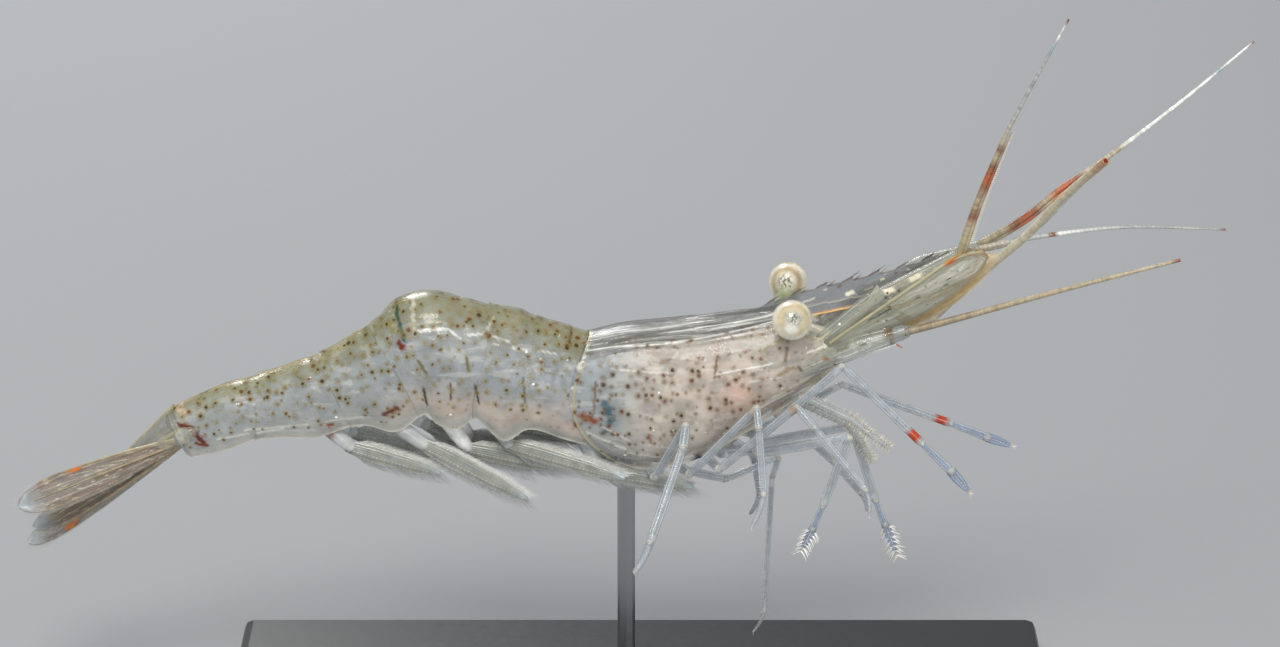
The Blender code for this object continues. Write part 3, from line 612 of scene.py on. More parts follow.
CARAPACE_INKS = (rgb(58, 44, 26), rgb(100, 54, 30))
ABDOMEN_INKS = (rgb(54, 44, 22), rgb(98, 62, 26))
CARAPACE_SHELL = shell_finish("carapace_shell", CARAPACE_INKS, rgb(142, 118, 80), 2.2, 0.6)
ABDOMEN_SHELL = shell_finish("abdomen_shell", ABDOMEN_INKS, rgb(150, 132, 60), 2.4, 0.7)
FLESH_FINISH = flesh_finish("flesh")
LIMB_FINISH = tissue_finish("limb", 0.22, 0.5, 0.5)
FEELER_FINISH = tissue_finish("feeler", 0.25, 0.35, 0.4)
BLADE_FINISH = tissue_finish("blade", 0.24, 0.5, 0.4, 0.22)
SETA_FINISH = tissue_finish("setae", 0.35, 0.3, 0.1)
STALK_FINISH = tissue_finish("eyestalk", 0.2, 0.4, 0.6, 0.25)
PEARL_FINISH = pearl_finish("eye_pearl")
CORNEA_FINISH = cornea_finish("eye_cornea")


# ---------------------------------------------------------------- body surfaces

def side_line(sections, depth):
    """The X and Z of points on body sections at a depth, from 0 at the top to 1 at the margin."""
    top, low = sections[..., 0:2], sections[..., 2:4]
    bow, skew = sections[..., 5], sections[..., 6]
    down = unit(low - top)
    forward = np.stack([-down[..., 1], down[..., 0]], -1)
    bend = bow * np.sin(np.pi * depth) - skew * np.sin(2 * np.pi * depth)
    return top + (low - top) * depth[..., None] + forward * bend[..., None]


def section_points(sections, turn, angle):
    """Points at a turn from the back's midline on body sections. Both arrays have the same shape."""
    depth = (1 - np.cos(turn)) / (1 - math.cos(math.radians(angle)))
    side = side_line(sections, depth)
    return np.stack([side[..., 0], sections[..., 4] * np.sin(turn), side[..., 1]], -1)


def shell_surface(rows, angle, places, turn):
    """Points on a shell for an array of row places and the turn of each column."""
    places, turn = np.broadcast_arrays(places, turn)
    sections = smooth_at(rows, places.ravel()).reshape(*places.shape, 7)
    return section_points(sections, turn, angle)


# The most radius of the pigment dots on each plate, as a share of DOT_CELL.
PIGMENT = {"carapace": 0.34, "abdomen": 0.28, "rostrum": 0.08, "scale": 0.12, "antennule": 0.10,
           "antenna": 0.14}


def paint(surface, tint, marks):
    """Lay ragged strokes over a tint, the same on both sides of the body. A mark is the X and Z where
    its stroke starts, those where it ends, its radius and its tint."""
    for *ends, radius, colour in marks:
        start, end = np.reshape(ends, (2, 2))
        line = end - start
        point = surface[..., ::2] - start
        t = np.clip(point @ line / (line @ line), 0, 1)
        distance = np.linalg.norm(point - t[..., None] * line, axis=-1)
        wave = 2.4 / (radius + 0.05)
        wobble = 1 + 0.45 * np.sin(wave * surface[..., 0]) * np.sin(1.3 * wave * surface[..., 2])
        tint[:] = mixed(tint, colour, 1 - step(0.4 * radius, 1.3 * radius, distance * wobble))


CARAPACE_MARKS = (
    (2.7, 14.6, 2.9, 15.0, 0.22, rgb(50, 66, 92, 0.8)),
    (3.9, 21.1, 3.7, 19.5, 0.06, rgb(112, 76, 48, 0.75)),
    (0.8, 20.6, 1.4, 20.4, 0.30, rgb(128, 106, 84, 0.5)),
    (-2.2, 19.2, -2.3, 17.6, 0.06, rgb(120, 92, 72, 0.6)),
    (0.45, 16.5, 0.55, 16.1, 0.07, rgb(150, 70, 36, 0.85)),
    (3.8, 19.7, 6.6, 20.2, 0.05, rgb(244, 242, 236, 0.6)),
    (-1.0, 19.8, 1.6, 19.7, 0.07, rgb(238, 232, 224, 0.6)),
    (7.3, 20.9, 7.2, 20.3, 0.09, rgb(120, 92, 56, 0.6)),
    (7.9, 20.0, 8.0, 19.8, 0.10, rgb(112, 90, 62, 0.6)),
    (8.3, 20.7, 9.4, 21.0, 0.06, rgb(240, 236, 216, 0.7)),
    (7.4, 18.9, 9.0, 19.7, 0.05, rgb(236, 236, 226, 0.6)),
    (8.9, 20.15, 9.1, 20.05, 0.07, rgb(150, 96, 62, 0.4)),
    (-2.85, 17.5, -2.3, 17.25, 0.20, rgb(132, 70, 40, 0.85)),
    (-1.75, 18.1, -1.45, 17.4, 0.25, rgb(84, 118, 130, 0.40)),
    (-1.35, 17.5, -1.75, 16.7, 0.17, rgb(70, 112, 126, 0.42)),
    (-2.6, 16.6, -0.7, 15.7, 0.07, rgb(238, 234, 220, 0.5)),
    (-1.9, 17.0, -0.5, 16.2, 0.06, rgb(240, 236, 226, 0.55)),
    (-0.6, 15.5, 1.6, 15.1, 0.07, rgb(236, 232, 220, 0.5)),
    (0.4, 16.0, 2.4, 15.6, 0.05, rgb(238, 236, 228, 0.55)),
    (2.2, 15.3, 4.6, 16.0, 0.06, rgb(234, 230, 218, 0.5)),
    (4.4, 16.4, 6.6, 17.5, 0.07, rgb(238, 236, 226, 0.6)),
    (5.2, 17.5, 7.6, 18.7, 0.05, rgb(240, 240, 232, 0.6)),
    (6.6, 18.4, 8.4, 19.3, 0.06, rgb(214, 208, 182, 0.6)),
    (5.4, 19.3, 7.0, 19.5, 0.04, rgb(238, 236, 226, 0.5)),
    (6.9, 19.6, 7.6, 20.0, 0.10, rgb(150, 132, 92, 0.5)),
    (6.2, 20.9, 7.2, 21.4, 0.08, rgb(170, 158, 112, 0.5)),
)
ABDOMEN_MARKS = (
    # painted highlights: the first seven strokes are broken white glints along a fold of the flank
    (-11.0, 21.72, -10.3, 21.84, 0.06, rgb(250, 250, 244, 0.7)),
    (-10.1, 21.86, -9.5, 21.80, 0.045, rgb(250, 250, 244, 0.6)),
    (-9.4, 21.75, -8.9, 21.42, 0.045, rgb(250, 250, 244, 0.55)),
    (-8.5, 21.52, -7.7, 21.55, 0.055, rgb(250, 250, 244, 0.6)),
    (-7.4, 21.46, -6.5, 21.18, 0.045, rgb(250, 250, 244, 0.6)),
    (-6.3, 20.94, -5.6, 20.76, 0.05, rgb(250, 250, 244, 0.5)),
    (-5.1, 20.72, -4.2, 20.52, 0.035, rgb(250, 250, 244, 0.5)),
    (-7.3, 22.1, -7.6, 21.7, 0.07, rgb(244, 240, 222, 0.45)),
    (-21.2, 15.85, -19.6, 16.15, 0.05, rgb(240, 240, 232, 0.5)),
    (-19.2, 16.2, -17.8, 16.5, 0.06, rgb(240, 240, 232, 0.5)),
    (-23.1, 17.05, -22.95, 16.95, 0.18, rgb(230, 206, 182, 0.6)),
    (-19.8, 16.35, -16.6, 16.75, 0.05, rgb(236, 236, 226, 0.5)),
    (-15.8, 16.9, -13.8, 17.2, 0.05, rgb(236, 230, 220, 0.5)),
    (-12.15, 22.9, -12.05, 22.3, 0.12, rgb(50, 76, 50, 0.85)),
    (-12.0, 22.2, -11.7, 21.3, 0.11, rgb(40, 84, 76, 0.85)),
    (-12.35, 21.9, -12.3, 21.6, 0.12, rgb(160, 154, 84, 0.5)),
    (-11.3, 23.1, -11.2, 21.6, 0.11, rgb(236, 234, 216, 0.50)),
    (-11.95, 21.1, -11.75, 20.9, 0.15, rgb(112, 42, 14, 0.95)),
    (-12.75, 17.4, -12.1, 17.75, 0.16, rgb(104, 62, 38, 0.85)),
    (-15.6, 16.7, -15.4, 16.75, 0.10, rgb(134, 66, 36, 0.9)),
    (-3.2, 17.0, -2.8, 16.85, 0.20, rgb(124, 66, 42, 0.85)),
    (-10.75, 18.9, -10.6, 18.0, 0.08, rgb(72, 72, 62, 0.85)),
    (-8.2, 19.15, -8.0, 18.2, 0.07, rgb(76, 78, 72, 0.85)),
    (-5.8, 19.5, -5.7, 18.2, 0.06, rgb(104, 98, 80, 0.75)),
    (-9.4, 19.25, -9.4, 18.3, 0.05, rgb(96, 34, 26, 0.9)),
    (-8.6, 20.5, -8.5, 19.9, 0.08, rgb(120, 112, 62, 0.7)),
    (-11.0, 20.3, -10.6, 19.7, 0.09, rgb(120, 112, 62, 0.6)),
    (-3.45, 21.2, -3.55, 20.7, 0.10, rgb(92, 66, 42, 0.85)),
    (-15.4, 20.3, -14.7, 20.5, 0.12, rgb(204, 194, 146, 0.3)),
    (-12.6, 21.8, -12.2, 21.9, 0.10, rgb(190, 176, 120, 0.3)),
    (-23.1, 16.45, -22.5, 16.35, 0.12, rgb(104, 42, 18, 0.92)),
    (-22.6, 16.35, -21.9, 15.65, 0.16, rgb(98, 38, 18, 0.92)),
    (-22.3, 15.55, -21.7, 15.45, 0.10, rgb(120, 54, 28, 0.9)),
)


# Painted highlights: white lines on the carapace's back, standing in for the shine of its wrinkles:
# degrees from the midline, sway, waves, strength, and the shares of the carapace's length between which
# each shows.
PAINTED_BACK_HIGHLIGHTS = (
    (13, 2.0, 7.0, 0.8, -0.1, 0.55), (19, 3.0, 5.0, 0.9, 0.25, 1.1), (26, 2.5, 6.0, 0.6, 0.45, 1.1),
    (31, 2.5, 5.5, 0.9, -0.1, 1.1), (35, 1.5, 7.0, 0.5, 0.5, 0.9),
)


# How many rows past the last section the front margin lies, by the degrees from the midline.
CARAPACE_FRONT = ((0, 0.3), (14, 0.1), (30, -0.5), (52, -0.5), (68, -0.1), (78, 0.25), (88, -0.1),
                  (104, 0.15), (114, -0.2), (128, -0.6), (140, -1.2))
# The spines of the front margin: their degrees from the midline and their lengths.
MARGIN_SPINES = ((78, 0.75), (104, 0.55))
# The relative size of the pigment dots, by the degrees from the midline.
CARAPACE_DOTS = ((0, 0.3), (24, 0.5), (36, 1.0), (110, 0.9), (132, 0.4))
# painted shade: a dark grey on the clear back, standing in for the shade seen through it
CARAPACE_BACK = rgb(112, 114, 110, 0.46)
# painted highlight: the colour of the white lines along the back
BACK_HIGHLIGHT_PAINT = rgb(250, 250, 244, 0.9)
CARAPACE_THICKNESS = 0.12


def carapace_relief(x, degrees, along):
    """How far the carapace stands out from its sections: its keel, wrinkles, ridge, groove and rims."""
    keel = 0.14 * bell(degrees, 0, 4) * step(1.0, 6.0, x)
    bends = 2.2 * np.sin(6.5 * along) + 1.1 * np.sin(17 * along + 0.1 * degrees)
    uneven = 0.6 + 0.4 * np.sin(11 * along + 0.35 * degrees)
    wrinkles = 0.042 * np.sin(2 * np.pi * degrees / 6.5 + bends) * bell(degrees, 25, 13) * uneven
    antennal = 0.07 * bell(degrees, MARGIN_SPINES[0][0], 3) * step(0.8, 1.0, along)
    groove = step(0.25, 0.5, along) * (1 - step(0.75, 0.9, along))
    branchial = -0.05 * bell(degrees, 62 + 30 * along, 3) * groove
    rim = 0.025 * bell(along, 0, 0.012) + 0.05 * bell(degrees, CARAPACE_ANGLE, 2.0)
    return keel + wrinkles + antennal + branchial + rim


def make_carapace():
    rows, columns = 150, 281
    turn = np.radians(np.linspace(-CARAPACE_ANGLE, CARAPACE_ANGLE, columns))
    degrees = np.degrees(np.abs(turn))
    along = np.linspace(0, 1, rows)[:, None]
    places = along * (len(CARAPACE_SECTIONS) - 1 + profile(degrees, CARAPACE_FRONT))
    surface = shell_surface(CARAPACE_SECTIONS, CARAPACE_ANGLE, places, turn)
    x, z = surface[..., 0], surface[..., 2]
    surface = surface + normals(surface) * carapace_relief(x, degrees, along)[..., None]
    # painted shade: the back near the midline is tinted dark grey, for the shade seen through the clear
    # shell
    tint = layered(GLASS, (GLASS_WARM, step(-1.5, 1.5, x)),
                   (CARAPACE_BACK, 1 - step(30, 40, degrees)))
    # painted highlights: white lines standing in for the shine along the back's wrinkles
    for at, sway, waves, strength, first, last in PAINTED_BACK_HIGHLIGHTS:
        line = bell(degrees, at + sway * np.sin(waves * along + at), 1.0)
        shown = step(first, first + 0.1, along) * (1 - step(last - 0.1, last, along))
        tint = mixed(tint, BACK_HIGHLIGHT_PAINT, strength * line * shown)
    tint = layered(tint, (MARGIN, bell(along, 0, 0.009)),
                   (rgb(222, 218, 204, 0.8), bell(degrees, CARAPACE_ANGLE, 2.2)),
                   (rgb(216, 206, 160, 0.7), step(0.975, 0.995, along)))
    paint(surface, tint, CARAPACE_MARKS)
    pigment = PIGMENT["carapace"] * profile(degrees, CARAPACE_DOTS)
    pigment = pigment * (1 - 0.6 * step(6.0, 8.5, x)) * (0.75 + 0.25 * step(15, 17.5, z))
    shape = Shape()
    shape.plate(surface, CARAPACE_THICKNESS, tint, pigment)
    for degrees_at, length in MARGIN_SPINES:
        margin_spines(shape, turn, surface, degrees_at, length)
    make_piece("shell_carapace", shape, CARAPACE_SHELL, ["carapace"])


def margin_spines(shape, turn, surface, degrees, length):
    """A forward spine on each side of the carapace's front margin."""
    for _, side in SIDES:
        column = int(np.argmin(np.abs(np.degrees(turn) - side * degrees)))
        way = unit(surface[-1, column] - surface[-9, column])
        shape.spine(surface[-3, column], way, (0, length), (0.18, 0.02), 8, rgb(206, 196, 160, 0.7))


def abdomen_rows():
    """The abdomen's sections from front to rear, and the row number of each joint."""
    rows, joints = [ABDOMEN_JOINTS[0]], [0]
    for middles, joint in zip(ABDOMEN_MIDDLES, ABDOMEN_JOINTS[1:]):
        rows += [*middles, joint]
        joints.append(len(rows) - 1)
    return np.array(rows, float), joints


WIDE_SOMITE, LAST_SOMITE = 1, 5  # the second one's side plates lap over both their neighbours
SOMITE_LAP = 0.38
SOMITE_THICKNESS = 0.11
SOMITE_BACK = rgb(162, 162, 130, 0.44)
PLEURA_GREY = rgb(186, 188, 182, 0.55)
PLEURA_PINK = rgb(206, 192, 180, 0.70)
# The relative size of the pigment dots, by the degrees from the midline.
SOMITE_DOTS = ((0, 1.3), (40, 1.2), (60, 1.0), (75, 0.9), (105, 0.75), (118, 0.3))


def somite_relief(index, along, degrees):
    """How far a somite stands in: its front is tucked in and its rear laps over the next one."""
    flank = step(60, 85, degrees)
    front = -0.04 + (0.12 * flank if index == WIDE_SOMITE else 0.0)
    lap = front + (0.05 - front) * step(0.0, 0.45, along)
    rim = 0.015 * bell(along, 1, 0.03) + 0.03 * bell(degrees, ABDOMEN_ANGLE, 2.0)
    fold = -0.04 * bell(along, 0.28, 0.05) * (1 - flank)
    waves = 2 * np.pi * degrees / 9 + 3.0 * np.sin(4 * along + index)
    wrinkles = 0.02 * np.sin(waves) * bell(degrees, 48, 13)
    ridge = 0.07 * bell(degrees, 55 + 5 * np.sin(5 * along + 2 * index) + 3 * np.sin(13 * along), 2.2)
    end = -0.30 * step(0.90, 1.0, along) if index == LAST_SOMITE else 0.0
    return lap + rim + fold + wrinkles + end + ridge * np.sin(np.pi * np.clip(along, 0, 1))


def make_somite(index, rows, joints):
    first, last = joints[index], joints[index + 1]
    count = max(30, int(16 * (rows[first][0] - rows[last][0])))
    columns = 151
    turn = np.radians(np.linspace(-ABDOMEN_ANGLE, ABDOMEN_ANGLE, columns))
    degrees = np.degrees(np.abs(turn))
    along = np.linspace(0, 1, count)[:, None]
    lap_rows = SOMITE_LAP / np.linalg.norm(rows[last][:2] - rows[last - 1][:2])
    under = 0.18 * step(60, 85, degrees) if index == WIDE_SOMITE else 0.0
    places = (first - under) + along * (last + lap_rows - first + under)
    surface = shell_surface(rows, ABDOMEN_ANGLE, places, turn)
    surface = surface - normals(surface) * somite_relief(index, along, degrees)[..., None]
    x = surface[..., 0]
    pleura = mixed(PLEURA_GREY, PLEURA_PINK, step(-14, -10, x))
    tint = layered(SOMITE_BACK, (GLASS, step(12, 58, degrees)), (pleura, step(84, 108, degrees)),
                   (rgb(176, 148, 66, 0.8), bell(degrees, 0, 5) * (1 - step(-15, -12, x))),
                   (rgb(190, 188, 178, 0.60), step(110, 122, degrees)),
                   (rgb(190, 192, 180, 0.55), 0.6 * bell(along, 1, 0.014)),
                   (rgb(212, 208, 196, 0.75), bell(degrees, ABDOMEN_ANGLE, 1.6)))
    # the marks include painted highlights, white glints along the flank's fold
    paint(surface, tint, ABDOMEN_MARKS)
    shape = Shape()
    pigment = PIGMENT["abdomen"] * profile(degrees, SOMITE_DOTS)
    shape.plate(surface, SOMITE_THICKNESS, tint, pigment)
    number = index + 1
    make_piece("shell_abdomen_%d" % number, shape, ABDOMEN_SHELL, ["abdomen_%d" % number])


def make_abdomen():
    rows, joints = abdomen_rows()
    for index in range(len(ABDOMEN_MIDDLES)):
        make_somite(index, rows, joints)


# Where the flesh ends behind the last somite, and the head in front of the carapace, as sections.
TAIL_ENDS = (
    (-23.95, 16.3, -23.6, 15.7, 0.16, 0.0, 0.0),
    (-23.9, 16.6, -23.2, 15.2, 0.58, 0.0, 0.0),
    (-23.7, 16.8, -22.8, 14.85, 0.90, 0.0, 0.0),
)
HEAD_SECTIONS = (
    (7.9, 21.9, 9.5, 18.45, 1.50, 0.7, 0.2),
    (8.7, 21.5, 9.8, 19.15, 1.20, 0.4, 0.1),
    (9.6, 21.1, 10.2, 19.75, 0.70, 0.1, 0.0),
)


def flesh_rows():
    """The skin's rows from the rear to the head: a section, its angle, how far its top lies under the
    shell's, as a share of its depth, and the depth of its underside."""
    rows, _ = abdomen_rows()
    table = [(*row, ABDOMEN_ANGLE, 0.05, 0.95) for row in TAIL_ENDS]
    for row in rows[:0:-1]:
        underside = profile(row[0], ((-23, 1.0), (-17, 1.0), (-12, 0.98), (-4, 0.98)))
        table.append((*row, ABDOMEN_ANGLE, 0.04, underside))
    for row in CARAPACE_SECTIONS:
        drop = profile(row[0], ((-2.5, 0.05), (0.5, 0.10), (3.0, 0.20), (6.0, 0.28), (7.3, 0.22)))
        table.append((*row, CARAPACE_ANGLE, drop, 1.04))
    for row in HEAD_SECTIONS:
        table.append((*row, CARAPACE_ANGLE, 0.03, 1.0))
    return np.array(table)


FLESH_WIDTH = 0.945  # as a share of the shell's


def flesh_rings(count=260, around=96):
    table = smooth(flesh_rows(), count)
    turn = 2 * np.pi * np.arange(around) / around
    share = (1 - np.cos(turn)) / 2
    start, bottom = table[:, 8:9], table[:, 9:10]
    depth = start + (bottom - start) * share
    full = 1 - np.cos(np.radians(table[:, 7:8]))
    shell_turn = np.arccos(np.clip(1 - depth * full, -1, 1))
    middle = side_line(table[:, None], depth)
    closing = np.sqrt(1 - share ** 9) * np.sqrt(1 - (1 - share) ** 14)
    width = FLESH_WIDTH * table[:, 4:5] * np.sin(shell_turn) * closing * np.sign(np.sin(turn))
    return np.stack([middle[..., 0], width, middle[..., 1]], -1)


def flesh_tint(points):
    """Grey-blue muscle with a pink belly in the abdomen, and warm organs in the carapace. The carapace's
    underside is painted lighter, to offset the shade under the body.
    """
    x, z = points[..., 0], points[..., 2]
    abdomen = 1 - step(-4, -2.5, x)
    return layered(
        FLESH_BLUE, (FLESH_WARM, step(-3.5, 0.0, x)),
        (rgb(142, 152, 174), 0.8 * bell(x, -7.0, 5.0) * bell(z, 19.2, 1.4)),
        (rgb(224, 190, 172), bell(z, 17.7, 0.75) * step(-14, -11, x) * abdomen),
        (rgb(194, 190, 164), 0.65 * step(20.7, 22.3, z) * (1 - step(-4, -2, x))),
        (rgb(250, 180, 160), 0.95 * bell(np.hypot(x - 4.9, (z - 18.3) * 1.1), 0, 1.35)),
        (rgb(232, 224, 214), 0.7 * bell(np.hypot(x - 2.0, z - 17.6), 0, 2.6)),
        (rgb(170, 192, 208), 0.8 * bell(x, -2.4, 1.1) * bell(z, 18.8, 2.2)),
        # painted light: the flesh low in the carapace is lightened to offset the shade under the body
        (rgb(250, 244, 232), 0.8 * (1 - step(15.6, 17.4, z)) * step(-4, -2, x)),
        (rgb(204, 198, 172), 0.5 * step(7.2, 9.0, x)),
        (rgb(204, 208, 206), 0.7 * (1 - step(-20, -14, x))),
        (rgb(232, 208, 196), 0.8 * bell(np.hypot(x + 23.0, z - 16.4), 0, 0.5)),
        (rgb(30, 84, 120), bell(np.hypot((x + 1.5) * 1.3, (z - 17.5) * 0.65), 0, 0.6)))


def make_skin():
    rings = flesh_rings()
    shape = Shape()
    shape.grid(rings, flesh_tint(rings))
    add_mouthparts(shape)
    make_piece("skin", shape, FLESH_FINISH, ["sternum", "mouthparts"])


def add_mouthparts(shape):
    """The lobes of the jaws and small maxillae that close the mouth from below."""
    low, high = node_box("mouthparts")
    centre = (low + high) / 2
    for _, side in SIDES:
        for share, size in ((0.20, 0.50), (0.42, 0.42), (0.62, 0.34)):
            place = (low[0] + share * (high[0] - low[0]), side * 0.42, centre[2] + 0.12 + 0.3 * share)
            shape.ball(place, (size * 0.75, size * 0.6, size), rgb(160, 160, 150), 12, 16)


# ---------------------------------------------------------------- eyes and rostrum

EYE_GLOBE_SHARE = 0.86


def make_eyes():
    for suffix, side in SIDES:
        low, high = node_box("eye_" + suffix)
        centre, radius = (low + high) / 2, (high[0] - low[0]) / 2
        cornea = Shape()
        cornea.ball(centre, (radius,) * 3, rgb(255, 255, 255), 40, 64)
        make_piece("eye_cornea_" + suffix, cornea, CORNEA_FINISH, ["eye_" + suffix])
        globe = eye_globe(centre, EYE_GLOBE_SHARE * radius, side)
        make_piece("eye_globe_" + suffix, globe, PEARL_FINISH)
        stalk = eyestalk(centre, radius, side)
        make_piece("eyestalk_cup_" + suffix, stalk, STALK_FINISH, ["eyestalk_" + suffix])


def eye_globe(centre, radius, side):
    """The silvery ball inside the cornea: mottled outward, tan round that, pale cream at its rim,
    lightened there to offset the shade at its edge, and with a painted highlight low on it.
    """
    shape = Shape()
    shape.ball((0, 0, 0), (radius,) * 3, rgb(255, 255, 255), 56, 80)
    points = shape.points[0]
    outer = angle_from(points, (0.1, side, 0.42))
    inner = angle_from(points, (-0.2, -side, 0.3))
    below = angle_from(points, (-0.12, side, -0.22))
    # the rim's white is partly painted light, lightened to offset the shade at the ball's edge
    tint = layered(rgb(206, 204, 198), (rgb(232, 218, 184), step(18, 44, outer)),
                   (rgb(255, 252, 242), step(52, 70, outer)), (rgb(196, 178, 142), bell(inner, 48, 14)),
                   # painted highlight: a white patch low on the ball where a lamp's glint would sit
                   (rgb(255, 255, 250), 1 - step(12, 34, below)))
    shape.tints = [tint]
    shape.pigment = [np.maximum(0.8 * (1 - step(8, 30, outer)), 1 - step(16, 36, inner))]
    shape.points = [points + centre]
    return shape


def angle_from(points, way):
    """The angle in degrees between each point's direction from the origin and the given one."""
    return np.degrees(np.arccos(np.clip(unit(points) @ unit(way), -1, 1)))


def eyestalk(centre, radius, side):
    """A greenish stalk that widens into a cup round the inner side of the eye."""
    root = on_side(EYESTALK_ROOT, side)
    t = np.linspace(0, 1, 20)
    path = root + (centre - root) * (0.80 * t)[:, None]
    widths = profile(t, ((0, 0.95), (0.4, 0.88), (0.65, 1.0), (0.85, 1.30), (1.0, 1.36))) * radius
    tint = mixed(rgb(158, 168, 130, 0.75), rgb(206, 214, 184, 0.15), step(0.55, 1.0, t))
    shape = Shape()
    shape.tube(path, widths, tint, (1, 0, 0), sides=28)
    return shape


ROSTRUM_TOOTH = (0.62, 0.20)
ROSTRUM_LOWER_TEETH = (10.6, 11.7, 12.7, 13.6)


def rostrum_upper(x):
    """The toothed upper edge: each tooth rises forward from its station and drops at its point."""
    length, rise = ROSTRUM_TOOTH
    height = profile(x, ROSTRUM_TOP)
    for station in ROSTRUM_TEETH:
        share = (x - station) / length
        height = height + rise * np.where((share > 0) & (share < 1), share, 0)
    return height


ROSTRUM_TINT = rgb(128, 132, 136, 0.46)
ROSTRUM_MARKS = (
    (10.35, 23.1, 10.6, 23.15, 0.14, rgb(240, 234, 212, 0.9)),
    (9.2, 23.3, 9.3, 23.33, 0.06, rgb(214, 206, 186, 0.7)),
    (12.0, 23.85, 12.15, 23.9, 0.06, rgb(232, 224, 200, 0.8)),
    (13.3, 24.35, 13.4, 24.4, 0.05, rgb(226, 214, 186, 0.8)),
    (11.2, 23.3, 11.6, 23.45, 0.04, rgb(216, 210, 190, 0.6)),
    (8.0, 22.6, 8.7, 22.85, 0.05, rgb(222, 218, 200, 0.6)),
    (7.0, 22.3, 7.1, 22.32, 0.07, rgb(110, 70, 40, 0.7)),
    (9.9, 23.45, 10.0, 23.5, 0.06, rgb(112, 70, 44, 0.7)),
    (12.7, 24.15, 12.8, 24.2, 0.05, rgb(110, 72, 48, 0.7)),
)


def make_rostrum():
    """A thin clear blade, thickened along its midrib and its lower edge."""
    x = np.linspace(4.7, 15.38, 360)
    share = np.linspace(0, 1, 33)
    upper, under = rostrum_upper(x), profile(x, ROSTRUM_UNDER)
    z = under[:, None] + (np.maximum(upper - under, 0.03))[:, None] * share
    rib = 0.40 - 0.10 * step(6, 14, x)[:, None]
    thickness = 0.13 + 0.10 * bell(share, rib, 0.05) + 0.14 * bell(share, 0, 0.06)
    thickness = thickness * (1 - 0.6 * step(11, 15.4, x))[:, None]
    surface = np.stack([np.broadcast_to(x[:, None], z.shape), np.zeros_like(z), z], -1)
    tint = layered(ROSTRUM_TINT, (rgb(206, 198, 174, 0.75), 0.8 * bell(share, rib, 0.03)),
                   (rgb(236, 182, 84, 0.95), bell(share, 0, 0.055) * step(8.0, 9.0, x)[:, None]))
    paint(surface, tint, ROSTRUM_MARKS)
    tint = layered(tint, (rgb(96, 74, 60, 0.7), step(0.93, 1.0, share) * step(6, 8, x)[:, None] * 0.7),
                   (rgb(90, 78, 70, 0.6), 0.6 * step(12.6, 14.5, x)[:, None]))
    shape = Shape()
    shape.plate(surface, thickness, tint, PIGMENT["rostrum"])
    for x_at in ROSTRUM_LOWER_TEETH:
        root = (x_at, 0, profile(x_at, ROSTRUM_UNDER) + 0.03)
        shape.spine(root, (0.42, 0, 0.02), (0, 1), (0.13, 0.02), 7, rgb(120, 86, 60, 0.9))
    make_piece("rostrum_blade", shape, CARAPACE_SHELL, ["rostrum"])
    for station in ROSTRUM_TEETH:
        rostrum_bristles(station)
    under_x = np.linspace(9.0, 12.3, 46)
    roots = np.stack([under_x, 0 * under_x, profile(under_x, ROSTRUM_UNDER) + 0.02], -1)
    HEAD_SETAE.bristles(roots, (-0.55, 0, -0.85), 0.55, 0.035, DARK_SETA, (0.2, 0, 0.1))


def rostrum_bristles(station):
    """A tuft of short dark hairs in the notch before each tooth's point."""
    places = station + np.linspace(0.1, 0.75, 7)
    roots = np.stack([places, 0 * places, rostrum_upper(places) - 0.02], -1)
    ways = np.stack([0.9 + 0 * places, rng.normal(0, 0.12, 7), 0.45 + rng.uniform(0, 0.5, 7)], -1)
    HEAD_SETAE.bristles(roots, ways, rng.uniform(0.25, 0.48, 7), 0.045, DARK_SETA, (0.2, 0, 0.1))


# ---------------------------------------------------------------- jointed limbs

# Along one segment of a limb: the share of its length and of its width.
SEGMENT_STATIONS = ((0, 0.74), (0.02, 0.84), (0.07, 0.93), (0.5, 1.0), (0.9, 0.98), (0.95, 1.02),
                    (0.98, 1.0), (1.0, 0.80))


def segment(shape, start, end, widths, look, rings=(), flat=1.0):
    """One clear segment with a narrow base and a slight collar, round its muscle and two pale tendons.
    Each ring is the shares of the length where it starts and ends, and its tint."""
    sleeve, muscle, joint = look
    length = np.linalg.norm(end - start)
    t = np.linspace(0, 1, 44)
    width = (widths[0] + (widths[1] - widths[0]) * t) * profile(t, SEGMENT_STATIONS)
    reach = min(0.3, 0.26 * max(widths) / length)
    ends = np.maximum(1 - step(0, 0.7 * reach, t), step(1 - reach, 1 - 0.2 * reach, t))
    tint = mixed(sleeve, joint, 0.8 * ends)
    for low, high, ring in rings:
        inside = step(low - 0.03, low + 0.02, t) * (1 - step(high - 0.02, high + 0.03, t))
        tint = mixed(tint, ring, inside)
    path = start + (end - start) * t[:, None]
    inner = slice(3, -3, 3)
    shape.tube(path, width, tint, flat=flat, sides=14)
    shape.tube(path[inner], 0.5 * width[inner], muscle, flat=flat, sides=8)
    _, _, up = frames(path, LEFT)
    for sign in (-1, 1):
        tendon = path + sign * 0.36 * flat * width[:, None] * up
        shape.tube(tendon[inner], 0.10 * width[inner], TENDON, sides=6)


